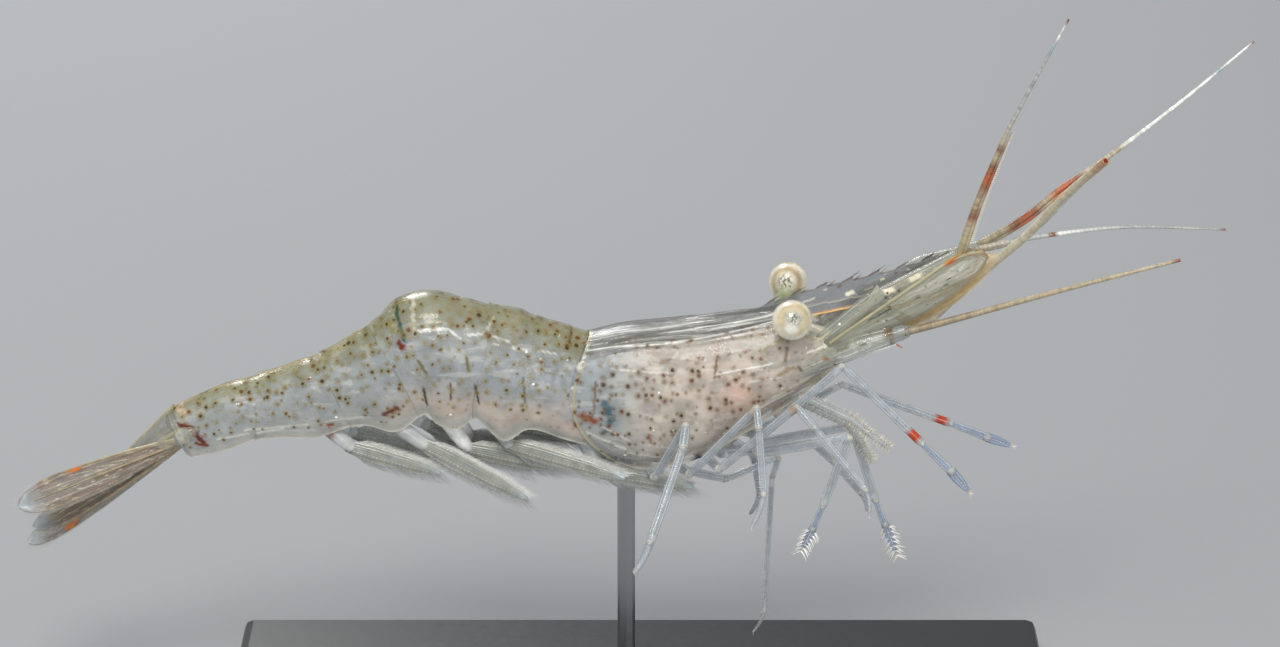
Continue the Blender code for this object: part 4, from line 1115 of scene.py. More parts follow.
def stem(shape, joints, widths):
    """A feeler's stem: one clear tube with a faint pale line at each joint, round its muscle and four
    fibres. The widths are those at the joints."""
    stations = np.arange(len(joints))
    places = np.linspace(0, stations[-1], 40 * stations[-1])
    path = joints[0] + rows_at(places, stations, joints - joints[0])
    near = np.abs(places - np.round(places)) + (places < 0.5) + (places > stations[-1] - 0.5)
    width = np.interp(places, stations, widths) * (1 - 0.07 * bell(near, 0, 0.02))
    shape.tube(path, width, mixed(STEM[0], STEM[2], 0.35 * bell(near, 0, 0.02)), sides=44)
    shape.tube(path[3:-3], 0.5 * width[3:-3], STEM[1], sides=10)
    _, across, up = frames(path, LEFT)
    for turn in np.radians((70, 160, 250, 340)):
        fibre = path + 0.36 * width[:, None] * (across * np.cos(turn) + up * np.sin(turn))
        shape.tube(fibre[4:-4:3], 0.05, TENDON, sides=6)


# Each kind of comb: how many bristles, their length, width and tint.
JAW_COMB = (9, 0.42, 0.075, TAN)
CLAW_COMB = (7, 0.46, 0.10, SETA)
FINGER_COMB = (5, 0.20, 0.035, SETA)
FOOT_COMB = (9, 0.20, 0.045, SETA)
CLEANING_COMB = (8, 0.30, 0.04, SETA)
SPINULES = (5, 0.16, 0.03, SETA)


def comb(start, end, way, kind, bend=(0, 0, 0)):
    """A row of bristles on a limb, between two places."""
    count, length, width, tint = kind
    roots = start + (end - start) * np.linspace(0, 1, count)[:, None]
    ways = unit(way) + rng.normal(0, 0.1, (count, 3))
    LEG_SETAE.bristles(roots, ways, length * rng.uniform(0.75, 1.1, count), width, tint, bend)


def finger(shape, start, along, spread, length, width):
    """One finger of a claw: it bows away from the other and hooks back to it at its tip."""
    t = np.linspace(0, 1, 16)
    bow = width * 0.50 + 0.05 * np.sin(np.pi * t) - width * 0.42 * t
    path = start + np.outer(t * length, along) + np.outer(bow, spread)
    widths = width * profile(t, ((0, 1.0), (0.5, 0.8), (0.85, 0.5), (1.0, 0.14)))
    shape.tube(path, widths, mixed(BLUE_LEG[1], JOINT, step(0.8, 1, t)), spread, 0.8, 10)


# Widths at the root of a limb and at the end of each of its segments.
LIMB_WIDTHS = {
    "maxilliped_3": (0.60, 0.50, 0.46, 0.42, 0.22),
    "pereiopod_1": (0.60, 0.50, 0.46, 0.44, 0.50, 0.34),
    "pereiopod_2": (0.60, 0.50, 0.42, 0.44, 0.60, 0.36),
    "pereiopod_3": (0.58, 0.46, 0.42, 0.40, 0.34, 0.16),
    "pereiopod_4": (0.58, 0.46, 0.42, 0.42, 0.38, 0.22),
    "pereiopod_5_r": (0.58, 0.50, 0.50, 0.50, 0.48, 0.30),
    "pereiopod_5_l": (0.58, 0.50, 0.42, 0.36, 0.33, 0.27, 0.12),
}
# Bright rings on the legs: the segment, the shares of its length between which it lies, and the tint.
LIMB_RINGS = {
    "pereiopod_2_r": ((2, 0.84, 0.955, ORANGE),),
    "pereiopod_2_l": ((2, 0.86, 0.96, ORANGE),),
    "pereiopod_3_r": ((1, 0.93, 1.0, rgb(176, 148, 120, 0.75)),),
    "pereiopod_4_r": ((1, 0.93, 1.0, rgb(196, 180, 160, 0.7)),),
}
CLAWED = ("pereiopod_1", "pereiopod_2")


def limb_root(name):
    x = COXA_X[name[:-2]]
    root = (x, COXA_SIDE, profile(x, STERNUM_AXIS) - COXA_DROP)
    return on_side(root, -1 if name.endswith("_r") else 1)


def limb_look(kind, index, count):
    if kind == "maxilliped_3":
        return JAW_LEG
    if kind in CLAWED and index >= count - 2:
        return BLUE_LEG
    return CLEAR_LEG


def make_limb(name):
    kind = name[:-2]
    joints = path_of(limb_root(name), LIMBS[name])
    widths = LIMB_WIDTHS.get(name) or LIMB_WIDTHS[kind]
    shape = Shape()
    shape.ball(joints[0], (0.40, 0.36, 0.44), rgb(222, 214, 198, 0.8), 12, 16)
    count = len(joints) - 1
    for index in range(count - 1):
        start, end = joints[index:index + 2]
        rings = [ring[1:] for ring in LIMB_RINGS.get(name, ()) if ring[0] == index]
        flat = 0.75 if kind in CLAWED and index == count - 2 else 1.0
        look = limb_look(kind, index, count)
        segment(shape, start, end, widths[index:index + 2], look, rings, flat=flat)
        shape.ball(end, (0.40 * widths[index + 1],) * 3, rgb(212, 212, 204, 0.55), 8, 12)
    along = unit(joints[-1] - joints[-2])
    spread = unit(np.cross(along, LEFT))
    limb_tip(shape, kind, joints, widths, along, spread)
    make_piece("limb_" + name, shape, LIMB_FINISH, [name])
    limb_setae(kind, joints, along, spread)


def limb_tip(shape, kind, joints, widths, along, spread):
    """A claw's two fingers, a jaw's last segment, or a walking leg's curved dactyl."""
    length = np.linalg.norm(joints[-1] - joints[-2])
    if kind in CLAWED:
        for sign in (-1, 1):
            finger(shape, joints[-2], along, sign * spread, length, 0.44 * widths[-2])
    elif kind == "maxilliped_3":
        segment(shape, joints[-2], joints[-1], widths[-2:], JAW_LEG)
    else:
        t = np.linspace(0, 1, 14)
        path = joints[-2] + np.outer(t * length, along) + np.outer(0.08 * np.sin(np.pi * t), spread)
        width = 0.9 * widths[-2] + (widths[-1] - 0.9 * widths[-2]) * t
        width = width * profile(t, ((0, 0.8), (0.1, 1.0), (0.9, 1.0), (1.0, 0.5)))
        shape.tube(path, width, mixed(CLEAR_LEG[1], JOINT, 0.6 * step(0.85, 1, t)), sides=12)


def limb_setae(kind, joints, along, spread):
    """The bristles of one limb: combs on the jaws' palps and first claws, spinules on the other legs."""
    leans = [lean * LEFT for lean in (-0.7, 0.0, 0.7)]
    if kind == "maxilliped_3":
        for start, end in zip(joints[1:-1], joints[2:]):
            for sign in (-1, 1):
                way = unit(end - start) * 0.35 + sign * spread
                for lean in leans:
                    comb(start, end, way + lean, JAW_COMB)
        return
    tip = joints[-1] - joints[-2]
    if kind == "pereiopod_1":
        palm = joints[-2] + 0.1 * (joints[-2] - joints[-3])
        for sign in (-1, 1):
            start = palm + 0.10 * sign * spread
            for lean in leans:
                way = along * 0.3 + sign * spread + lean
                comb(start, joints[-1], way, CLAW_COMB, along * 0.35)
    elif kind == "pereiopod_2":
        for sign in (-1, 1):
            comb(joints[-2] + 0.5 * tip, joints[-1], along + sign * spread, FINGER_COMB)
    else:
        start, end = joints[-3], joints[-2]
        way = unit(end - start) * 0.8 - spread
        comb(start, end, way, FOOT_COMB)
        comb(start + 0.7 * (end - start), end, way + 0.5 * LEFT, CLEANING_COMB)
    for start, end in zip(joints[1:-1], joints[2:]):
        comb(start, end, unit(end - start) + spread, SPINULES)


# ---------------------------------------------------------------- feelers

def along_path(joints, count):
    """Evenly spaced points on the smooth curve through the joints, and the curve's length."""
    fine = smooth(joints, 500)
    travelled = np.concatenate([[0], np.cumsum(np.linalg.norm(np.diff(fine, axis=0), axis=1))])
    return rows_at(np.linspace(0, travelled[-1], count), travelled, fine), travelled[-1]


def tint_along(t, stops):
    """Tints at shares of a length, from (share, tint) stops."""
    places, colours = zip(*stops)
    return rows_at(t, places, colours)


# Along one article of a whip: the shares of its length, the widths there and how bright it is.
ARTICLE_STEPS = (0.0, 0.25, 0.8, 0.97)
ARTICLE_WIDTHS = (0.95, 0.99, 1.01, 0.98)
ARTICLE_TONES = (0.80, 1, 1, 0.92)


def flagellum(shape, root, rows, whip, stops):
    """A whip of short articles, each swelling a little to its end, with a dark line between them."""
    widths, article, patch = whip
    fine, length = along_path(path_of(root, rows), 600)
    articles = int(length / article)
    t = (np.arange(articles)[:, None] + ARTICLE_STEPS).ravel() / articles
    path = rows_at(t, np.linspace(0, 1, len(fine)), fine)
    width = (widths[0] + (widths[1] - widths[0]) * t ** 0.8) * np.tile(ARTICLE_WIDTHS, articles)
    tone = np.repeat(1 + rng.uniform(-patch, patch, articles), len(ARTICLE_STEPS))
    tone *= np.tile(ARTICLE_TONES, articles)
    tint = tint_along(t, stops) * np.stack([tone, tone, tone, 0 * tone + 1], -1)
    shape.tube(path, width, tint, sides=10)
    return fine


BEIGE = rgb(188, 174, 142, 0.85)
CLEAR_WHIP = rgb(184, 186, 182, 0.74)
WHITE_WHIP = rgb(236, 236, 230, 0.92)
BAND = rgb(140, 98, 70, 0.88)
GLOW = rgb(184, 96, 48, 0.92)
TEAL_WHIP = rgb(140, 168, 172, 0.8)
OUTER_STOPS = {
    "r": ((0, BEIGE), (0.13, BEIGE), (0.17, BAND), (0.24, BEIGE), (0.29, BAND), (0.33, GLOW),
          (0.38, BAND), (0.42, BEIGE), (0.45, BAND), (0.48, BEIGE), (0.6, CLEAR_WHIP),
          (0.84, CLEAR_WHIP), (0.88, TEAL_WHIP), (0.93, WHITE_WHIP), (0.96, WHITE_WHIP), (1.0, RED)),
    "l": ((0, BEIGE), (0.08, BEIGE), (0.12, BAND), (0.17, GLOW), (0.20, BAND), (0.24, BEIGE),
          (0.28, GLOW), (0.32, GLOW), (0.36, BAND), (0.40, BEIGE), (0.50, BEIGE), (0.54, WHITE_WHIP),
          (0.84, WHITE_WHIP), (0.87, TEAL_WHIP), (0.90, WHITE_WHIP), (0.97, WHITE_WHIP), (1.0, RED)),
}
INNER_STOPS = {
    "r": ((0, BEIGE), (0.28, CLEAR_WHIP), (0.335, CLEAR_WHIP), (0.35, BAND), (0.365, BAND),
          (0.38, WHITE_WHIP), (0.6, CLEAR_WHIP), (0.97, CLEAR_WHIP), (1.0, RED)),
    "l": ((0, BEIGE), (0.5, CLEAR_WHIP), (1.0, CLEAR_WHIP)),
}
# On each side: the share of the outer flagellum that its second branch goes along.
BRANCH_SHARE = {"r": 0.54, "l": 0.47}
# The widths of a stem at its joints, and how far back into the head it is rooted.
ANTENNULE_STEM, ANTENNULE_SINK = (0.9, 1.05, 0.9, 0.66), 0.7
ANTENNA_STEM, ANTENNA_SINK = (0.8, 1.2, 0.90), 1.7
# Each whip: its widths at its root and tip, its articles' length and how much they differ in tone.
OUTER_WHIP = ((0.42, 0.10), 0.15, 0.22)
INNER_WHIP = ((0.32, 0.11), 0.22, 0.10)
ANTENNA_WHIPS = {"r": ((0.42, 0.18), 0.10, 0.16), "l": ((0.50, 0.38), 0.14, 0.10)}


def make_antennules():
    for suffix, side in SIDES:
        joints = path_of(on_side(ANTENNULE_ROOT, side), ANTENNULE_PEDUNCLES[suffix])
        joints[0] -= ANTENNULE_SINK * unit(joints[1] - joints[0])
        shape = Shape()
        stem(shape, joints, ANTENNULE_STEM)
        stylocerite(shape, side)
        shape.pigment = [PIGMENT["antennule"] + 0 * block for block in shape.pigment]
        node = "antennule_peduncle_" + suffix
        make_piece("antennule_stem_" + suffix, shape, ABDOMEN_SHELL, [node])
        offset = side * FLAGELLA_SPREAD * LEFT
        outer_flagellum(suffix, joints[-1] + offset)
        inner, rows = Shape(), INNER_FLAGELLA[suffix]
        flagellum(inner, joints[-1] - offset, rows, INNER_WHIP, INNER_STOPS[suffix])
        node = "antennule_inner_flagellum_" + suffix
        make_piece("antennule_inner_" + suffix, inner, FEELER_FINISH, [node])


# The clear scale beside an antennule's stem: its upper edge with its sharp corner, and its lower edge.
STYLOCERITE_UPPER = ((9.9, 21.6), (10.4, 22.15), (10.8, 22.5), (11.2, 22.95), (11.5, 23.55),
                     (11.72, 24.0), (11.86, 23.7), (12.3, 23.82), (13.0, 24.2), (13.7, 24.62),
                     (14.4, 24.95))
STYLOCERITE_LOWER = ((9.9, 21.2), (10.5, 21.7), (11.0, 22.1), (11.4, 22.5), (11.8, 22.8), (12.2, 23.0),
                     (12.6, 23.3), (13.0, 23.5), (13.4, 23.75), (13.9, 24.1), (14.4, 24.5))
STYLOCERITE_MARKS = (
    (12.2, 23.7, 12.5, 23.75, 0.16, rgb(242, 234, 212, 0.9)),
    (13.4, 24.3, 13.8, 24.5, 0.15, rgb(238, 228, 204, 0.9)),
    (12.15, 23.35, 12.2, 23.37, 0.06, rgb(60, 48, 34, 0.9)),
    (12.8, 23.75, 12.85, 23.77, 0.06, rgb(70, 56, 40, 0.9)),
)


def stylocerite(shape, side):
    """The clear scale on the outer side of an antennule's stem: marked on the right side, and lower and
    narrower on the left, where it would hide the rostrum."""
    stations = np.arange(len(STYLOCERITE_UPPER))
    places = np.linspace(0, stations[-1], 60)
    lower, upper = (rows_at(places, stations, rows) for rows in (STYLOCERITE_LOWER, STYLOCERITE_UPPER))
    breadth, drop, marks = (1.0, 0, STYLOCERITE_MARKS) if side < 0 else (0.6, 0.35, ())
    c = np.linspace(0, 1, 14)
    level = lower[:, None] + (upper - lower)[:, None] * c[:, None] * breadth
    out = side * (1.28 + 0.10 * np.sin(np.pi * c)) + 0 * level[..., 0]
    surface = np.stack([level[..., 0], out, level[..., 1] - drop], -1)
    tint = mixed(rgb(186, 184, 168, 0.34), rgb(216, 208, 180, 0.7), 0.8 * bell(c, 1, 0.05) + 0 * out)
    paint(surface, tint, marks)
    shape.plate(surface, 0.10, tint)


def outer_flagellum(suffix, root):
    """The outer flagellum: its thick base carries a short second branch with the smelling hairs."""
    shape = Shape()
    share, stops = BRANCH_SHARE[suffix], OUTER_STOPS[suffix]
    fine = flagellum(shape, root, OUTER_FLAGELLA[suffix], OUTER_WHIP, stops)
    base = fine[:int(share * len(fine))]
    along, _, up = frames(base, LEFT)
    branch = base - 0.20 * up
    t = np.linspace(0, 1, len(base))
    widths = 0.24 * (1 - 0.7 * t ** 2)
    shape.tube(branch[::6], widths[::6], tint_along(share * t, stops)[::6], sides=8)
    node = "antennule_outer_flagellum_" + suffix
    make_piece("antennule_outer_" + suffix, shape, FEELER_FINISH, [node])
    haired = slice(40, None, 5)
    roots = branch[haired] - 0.08 * up[haired]
    ways = unit(0.5 * along[haired] - up[haired])
    HEAD_SETAE.bristles(roots, ways, np.linspace(0.25, 0.07, len(roots)), 0.055, rgb(206, 192, 162, 0.9))


STEM_MARKS = (
    (12.2, 21.75, 12.4, 21.9, 0.16, rgb(128, 106, 72, 0.5)),
    (9.15, 21.3, 9.35, 21.2, 0.10, rgb(120, 78, 44, 0.7)),
    (9.1, 20.45, 9.3, 20.4, 0.09, rgb(150, 96, 60, 0.6)),
    (9.8, 20.5, 11.4, 21.2, 0.04, rgb(240, 240, 232, 0.6)),
    (11.4, 21.9, 12.6, 22.25, 0.04, rgb(240, 240, 230, 0.6)),
    (8.4, 20.6, 9.0, 21.1, 0.05, rgb(232, 226, 200, 0.6)),
    (9.9, 20.95, 10.3, 21.1, 0.05, rgb(92, 84, 60, 0.6)),
    (10.9, 21.2, 11.2, 21.3, 0.05, rgb(84, 88, 84, 0.6)),
)
SCALE_MARKS = (
    (11.3, 22.5, 11.8, 22.75, 0.06, rgb(84, 96, 92, 0.7)),
    (11.8, 22.8, 12.4, 23.1, 0.07, rgb(74, 88, 84, 0.75)),
    (12.0, 22.35, 12.8, 22.75, 0.05, rgb(230, 230, 222, 0.6)),
    (13.6, 23.6, 13.8, 23.7, 0.05, rgb(70, 60, 40, 0.8)),
    (15.0, 24.25, 15.2, 24.35, 0.05, rgb(96, 92, 60, 0.8)),
    (12.9, 23.0, 15.4, 24.1, 0.04, rgb(226, 226, 212, 0.5)),
    (16.1, 25.2, 16.2, 25.25, 0.04, rgb(84, 70, 50, 0.8)),
)


def make_antennae():
    for suffix, side in SIDES:
        rows = [(length, pitch, -side * yaw) for length, pitch, yaw in ANTENNA_PEDUNCLE]
        joints = path_of(on_side(ANTENNA_ROOT, side), rows)
        joints[0] -= ANTENNA_SINK * unit(joints[1] - joints[0])
        along = unit(joints[2] - joints[1])
        shape = Shape()
        stem(shape, joints, ANTENNA_STEM)
        antenna_stem_end(shape, joints, along, side)
        shape.pigment = [PIGMENT["antenna"] + 0 * block for block in shape.pigment]
        for points, tint in zip(shape.points, shape.tints):
            paint(points, tint, STEM_MARKS)
        node = "antenna_peduncle_" + suffix
        make_piece("antenna_stem_" + suffix, shape, ABDOMEN_SHELL, [node])
        antenna_flagellum(suffix, joints[-1] - 0.2 * along)
        make_scale(suffix, side)


def antenna_stem_end(shape, joints, along, side):
    """The brown ring and the last piece of an antenna's stem, and the pale edge and spine below it."""
    ring = joints[2] - np.outer((0.22, 0.16, 0.10), along)
    shape.tube(ring, (0.90, 0.93, 0.90), rgb(164, 112, 62, 0.55), sides=24)
    t = np.linspace(0, 1, 20)
    widths = 0.84 * np.sqrt(1 - 0.25 * t - 0.45 * t ** 8)
    last = joints[2] + np.outer(1.15 * t - 0.3, along)
    shape.tube(last, widths, rgb(164, 172, 172, 0.5), sides=24)
    edge = joints[1:] + np.array(((0, side * 0.2, -0.52), (0.15, side * 0.2, -0.42)))
    shape.tube(smooth(edge, 12), np.linspace(0.16, 0.05, 12), rgb(238, 240, 236, 0.9), sides=8)
    down = unit(along + (0, 0, -0.9))
    shape.spine(edge[-1], down, (0, 0.38), (0.10, 0.03), 6, rgb(168, 92, 58, 0.9))


# The near antenna is whole and dark. The far one is cut, and shows its red inside.
ANTENNA_STOPS = {
    "r": ((0, rgb(156, 136, 106, 0.88)), (0.3, rgb(170, 154, 124, 0.86)), (0.96, BEIGE), (1.0, RED)),
    "l": ((0, rgb(216, 208, 184, 0.9)), (0.9, rgb(200, 188, 160, 0.9)), (1.0, rgb(180, 140, 104, 0.95))),
}


def antenna_flagellum(suffix, root):
    shape = Shape()
    rows, whip, stops = ANTENNA_FLAGELLA[suffix], ANTENNA_WHIPS[suffix], ANTENNA_STOPS[suffix]
    fine = flagellum(shape, root, rows, whip, stops)
    if suffix == "l":
        way = unit(fine[-1] - fine[-8])
        shape.spine(fine[-1], way, (-0.1, 0.03), (0.22, 0.22), 4, rgb(120, 24, 14), 12)
    node = "antenna_flagellum_" + suffix
    make_piece("antenna_whip_" + suffix, shape, FEELER_FINISH, [node])


SCALE_RIBS = 5


def make_scale(suffix, side):
    """The antennal scale: a thin ribbed plate with a stiff outer margin that ends in a tooth."""
    pitch, splay, roll = SCALE_POSES[suffix]
    root = on_side(SCALE_ROOT, side)
    along = direction(pitch, side * splay)
    inward = unit(np.cross((0, 0, 1), along)) * -side
    downward = np.cross(along, inward) * side
    across = inward * math.cos(math.radians(roll)) + downward * math.sin(math.radians(roll))
    t = np.linspace(0, 1, 110)[:, None]
    c = np.linspace(0, 1, 41) ** 1.5
    edges = smooth(SCALE_EDGES, 300)
    outer, inner = (np.interp(t, edges[:, 0], edges[:, column]) for column in (1, 2))
    reach = outer + (inner - outer) * c
    dome = 0.14 * np.sin(np.pi * c) * np.sin(np.pi * np.clip(t * 1.1, 0, 1))
    surface = root + t[..., None] * SCALE_LENGTH * along + reach[..., None] * across
    surface = surface + dome[..., None] * np.cross(along, across) * side
    ribs = 0.014 * np.sin(2 * np.pi * c * SCALE_RIBS) * (1 - bell(c, 0, 0.1))
    thickness = 0.15 + 0.04 * bell(c, 0.03, 0.03) + 0.05 * bell(c, 0.12, 0.02) + ribs
    tint = scale_tint(t, c)
    paint(surface, tint, SCALE_MARKS)
    shape = Shape()
    shape.plate(surface, thickness, tint, PIGMENT["scale"])
    tooth = root + SCALE_TOOTH * SCALE_LENGTH * along
    shape.spine(tooth, along, (-0.5, 0.6), (0.17, 0.03), 8, rgb(190, 140, 70, 0.95), 12)
    make_piece("antenna_scale_" + suffix, shape, ABDOMEN_SHELL, ["antennal_scale_" + suffix])
    scale_fringe(surface, t[:, 0], along, across)


def scale_tint(t, c):
    """The scale's tints: its gold margin, two pale seams, its brown rim and the orange tooth."""
    rim = np.maximum(step(0.93, 0.99, c), 0.8 * step(0.95, 1.0, t))
    return layered(
        rgb(184, 182, 160, 0.52), (rgb(122, 110, 54, 0.92), bell(c, 0.022, 0.007)),
        (rgb(196, 186, 134, 0.75), 0.6 * bell(c, 0, 0.006)),
        (rgb(176, 168, 116, 0.7), 0.6 * bell(c, 0.13, 0.012)),
        (rgb(196, 182, 134, 0.75), 0.7 * bell(c, 0.62 + 0.3 * t ** 3, 0.02)),
        (rgb(190, 160, 108, 0.85), rim),
        (rgb(170, 116, 66, 0.8), 0.7 * bell(t + 0.35 * (c - 0.3) ** 2, 0.955, 0.009)),
        (rgb(206, 98, 34, 0.95), bell(t, SCALE_TOOTH - 0.03, 0.035) * (1 - step(0.06, 0.14, c))))


def scale_fringe(surface, t, along, across):
    """Two rows of hairs along the scale's inner edge and its end."""
    start = int(0.30 * len(t))
    t = t[start:]
    ways = across + along * (0.5 + 1.2 * t)[:, None]
    lengths = 0.75 * np.sin(np.pi * np.clip(0.15 + 0.8 * t, 0, 1)) + 0.25
    for lift in (-0.05, 0.05):
        roots = surface[start:, -1] + lift * np.cross(along, across)
        HEAD_SETAE.bristles(roots, ways, lengths, 0.035, FRINGE, along * 0.3)


# ---------------------------------------------------------------- pleopods and tail fan

BLUE_TIP = rgb(186, 202, 210, 0.6)
PLEOPOD_TINT = rgb(158, 160, 150, 0.52)
PLEOPOD_RIB = rgb(222, 222, 210, 0.85)
PLEOPOD_LINES = ((0.35, 0.10, rgb(140, 148, 150, 0.55)), (-0.62, 0.08, rgb(146, 152, 152, 0.55)))
RAMUS_WIDTH = 0.86
RAMUS_SPREAD = 4
RAMUS_SINK = 0.3
RAMUS_STATIONS = ((0.0, 0.5), (0.12, 0.85), (0.3, 1.0), (0.7, 0.85), (0.9, 0.5), (1.0, 0.14))
RAMUS_THICKNESS = 0.26
MILKY_BRIGHTENED_PAIR, RINGED_PAIR = 2, 4
HAIRS_PER_MM = 18
HAIR_WIDTH = 0.025
PROTOPOD_WIDTHS = ((0, 0.7), (0.15, 0.80), (0.6, 0.82), (0.85, 0.72), (0.95, 0.60), (1, 0.36))
# The look of a blade: its tint, its ribs' tint and number, its lines and whether it is beaded. Each
# line is its place across the blade, its width and its tint.
PLEOPOD_LOOK = (PLEOPOD_TINT, PLEOPOD_RIB, 7, PLEOPOD_LINES, True)


def paddle(shape, root, along, across, size, stations, thickness, look, spots=()):
    """A thin ribbed plate about its axis, of a size (length, width). It returns its two edges. Each
    spot is its place along and across, its radius and its tint."""
    length, width = size
    t = np.linspace(0, 1, 120)[:, None]
    c = np.linspace(-1, 1, 45)
    half = 0.5 * width * profile(t, stations)
    surface = root + (t * length)[..., None] * along + (half * c)[..., None] * across
    surface = surface + (0.10 * (1 - c ** 2))[:, None] * np.cross(along, across)
    _, _, ribs, _, beaded = look
    shown = 1 - 0.8 * step(0.80, 0.96, t)
    wave = 0.5 + 0.5 * np.cos(np.pi * ribs * c + 1.5 * np.sin(3 * c) + 2 * t * c) * shown
    edge = bell(np.abs(c), 1, 0.09)
    seam = bell(c, -0.30, 0.06) * beaded
    beads = (0.5 + 0.5 * np.sin(2 * np.pi * t * length / 0.20)) * np.maximum(edge, seam)
    deep = thickness * (0.6 + 0.16 * wave + 0.2 * beads) * (1 - 0.5 * t)
    tint = blade_tint(t, c, look, wave, np.maximum(0.5 * edge, beads))
    for t_at, c_at, radius, colour in spots:
        distance = np.hypot(0.5 * (t - t_at) * length, (half * c) - 0.5 * width * c_at)
        distance = distance * (1 + 0.4 * np.sin(40 * t) * np.sin(5 * c))
        tint = mixed(tint, colour, 1 - step(0.6 * radius, 1.2 * radius, distance))
    shape.plate(surface, deep, tint)
    return surface[:, 0], surface[:, -1]


def blade_tint(t, c, look, wave, beads):
    """A blade's tint with its ribs, bluish tip, beads and broken lines. One without a beaded seam is
    flecked pale and brown: the pale flecks are painted highlights standing in for silvery glints. All
    but the ribs fade at the tip."""
    tint, rib, _, lines, beaded = look
    tip = step(0.80, 0.96, t)
    tint = mixed(tint, rib, 0.26 * wave * (1 - 0.4 * t))
    tint = mixed(tint, BLUE_TIP, 0.7 * step(0.82, 1.0, t))
    tint = mixed(tint, rib, beads)
    for c_at, line_width, colour in lines:
        broken = (0.5 + 0.4 * (np.sin(17 * t + 9 * c_at) * np.cos(7 * t))) * (1 - 0.85 * tip)
        sway = 0.08 * np.sin(3 * t + 5 * c_at)
        tint = mixed(tint, colour, bell(c + sway, c_at, line_width) * broken)
    if beaded:
        return tint
    flecks = np.sin(37 * t + 6 * np.sin(5 * c)) * np.cos(13 * c + 5 * np.sin(7 * t))
    return layered(
        # painted highlights: pale flecks standing in for silvery glints; the brown flecks are pigment
        tint, (rgb(222, 214, 194, 0.75), 0.75 * step(0.72, 0.98, flecks) * (1 - tip)),
        (rgb(84, 52, 38, 0.75), 0.7 * step(0.86, 1.0, -flecks) * (1 - tip)))


def make_pleopod(index, suffix, side):
    root, protopod, pitch, poses = PLEOPODS[index]
    length, splay = poses[suffix]
    start = on_side(root, side)
    end = start + direction(protopod[1], side * splay) * protopod[0]
    shape = Shape()
    pleopod_base(shape, start, end, index)
    for turn in (1, -1):
        along = direction(pitch + turn, side * (splay + turn * RAMUS_SPREAD))
        across = unit(np.cross(along, LEFT))
        base, size = end - along * RAMUS_SINK, (length, RAMUS_WIDTH)
        edges = paddle(shape, base, along, across, size, RAMUS_STATIONS, RAMUS_THICKNESS, PLEOPOD_LOOK)
        ramus_setae(edges, along, across, length)
    node = "pleopod_%d_%s" % (index + 1, suffix)
    make_piece("pleopod_paddles_%d_%s" % (index + 1, suffix), shape, BLADE_FINISH, [node])


def pleopod_base(shape, start, end, index):
    """The stout first segment: milky on the third pair, where it is painted brighter still to offset
    its shade, and with a red ring on the fifth.
    """
    # the third pair's milky white is painted near full white, partly to offset the shade it lies in
    milky = rgb(250, 250, 246, 0.97) if index == MILKY_BRIGHTENED_PAIR else rgb(206, 210, 208, 0.50)
    t = np.linspace(0, 1.06, 24)
    tint = mixed(milky, rgb(222, 224, 220, 0.7), step(0.85, 1.0, t))
    if index == RINGED_PAIR:
        tint = mixed(tint, RED, 0.8 * bell(t, 0.45, 0.10))
    path = start + np.outer(t, end - start)
    shape.tube(path, profile(t / 1.06, PROTOPOD_WIDTHS), tint, sides=16)


def ramus_setae(edges, along, across, length):
    """The swimming hairs on both edges of a ramus, longer and darker below."""
    count = int(HAIRS_PER_MM * length)
    for edge, sign in ((edges[0], -1), (edges[1], 1)):
        roots = rows_at(np.linspace(12, len(edge) - 1, count), np.arange(len(edge)), edge)
        lower = (sign * across)[2] < 0
        tint = rgb(160, 162, 160, 0.75) if lower else rgb(214, 214, 208, 0.8)
        ways = along * 1.6 + sign * across + rng.normal(0, 0.08, (count, 3))
        reach = (0.75 if lower else 0.40) * rng.uniform(0.8, 1.1, count)
        PLEOPOD_SETAE.bristles(roots, ways, reach, HAIR_WIDTH, tint, along * 0.25)


def make_pleopods():
    for index in range(len(PLEOPODS)):
        for suffix, side in SIDES:
            make_pleopod(index, suffix, side)


FAN_TINT = rgb(132, 120, 106, 0.55)
FAN_RIB = rgb(164, 146, 124, 0.64)
FAN_LINES = ((0.62, 0.05, rgb(116, 68, 46, 0.8)), (0.30, 0.04, rgb(206, 198, 178, 0.7)),
             (-0.22, 0.04, rgb(92, 70, 50, 0.75)), (-0.50, 0.04, rgb(206, 202, 188, 0.7)),
             (-0.74, 0.05, rgb(84, 68, 54, 0.75)), (0.82, 0.04, rgb(204, 184, 140, 0.8)))
FAN_LOOK = (FAN_TINT, FAN_RIB, 11, FAN_LINES, False)
TELSON_SHOULDER = 0.62
TELSON_WIDTHS = ((0.0, 0.92), (0.25, 0.90), (0.6, 0.66), (0.88, 0.44), (1.0, 0.26))
# The spines behind the telson: how far each is from the middle, and its length.
TELSON_SPINES = ((-0.22, 0.5), (0.22, 0.5), (-0.10, 0.95), (0.10, 0.95), (0, 0.4))


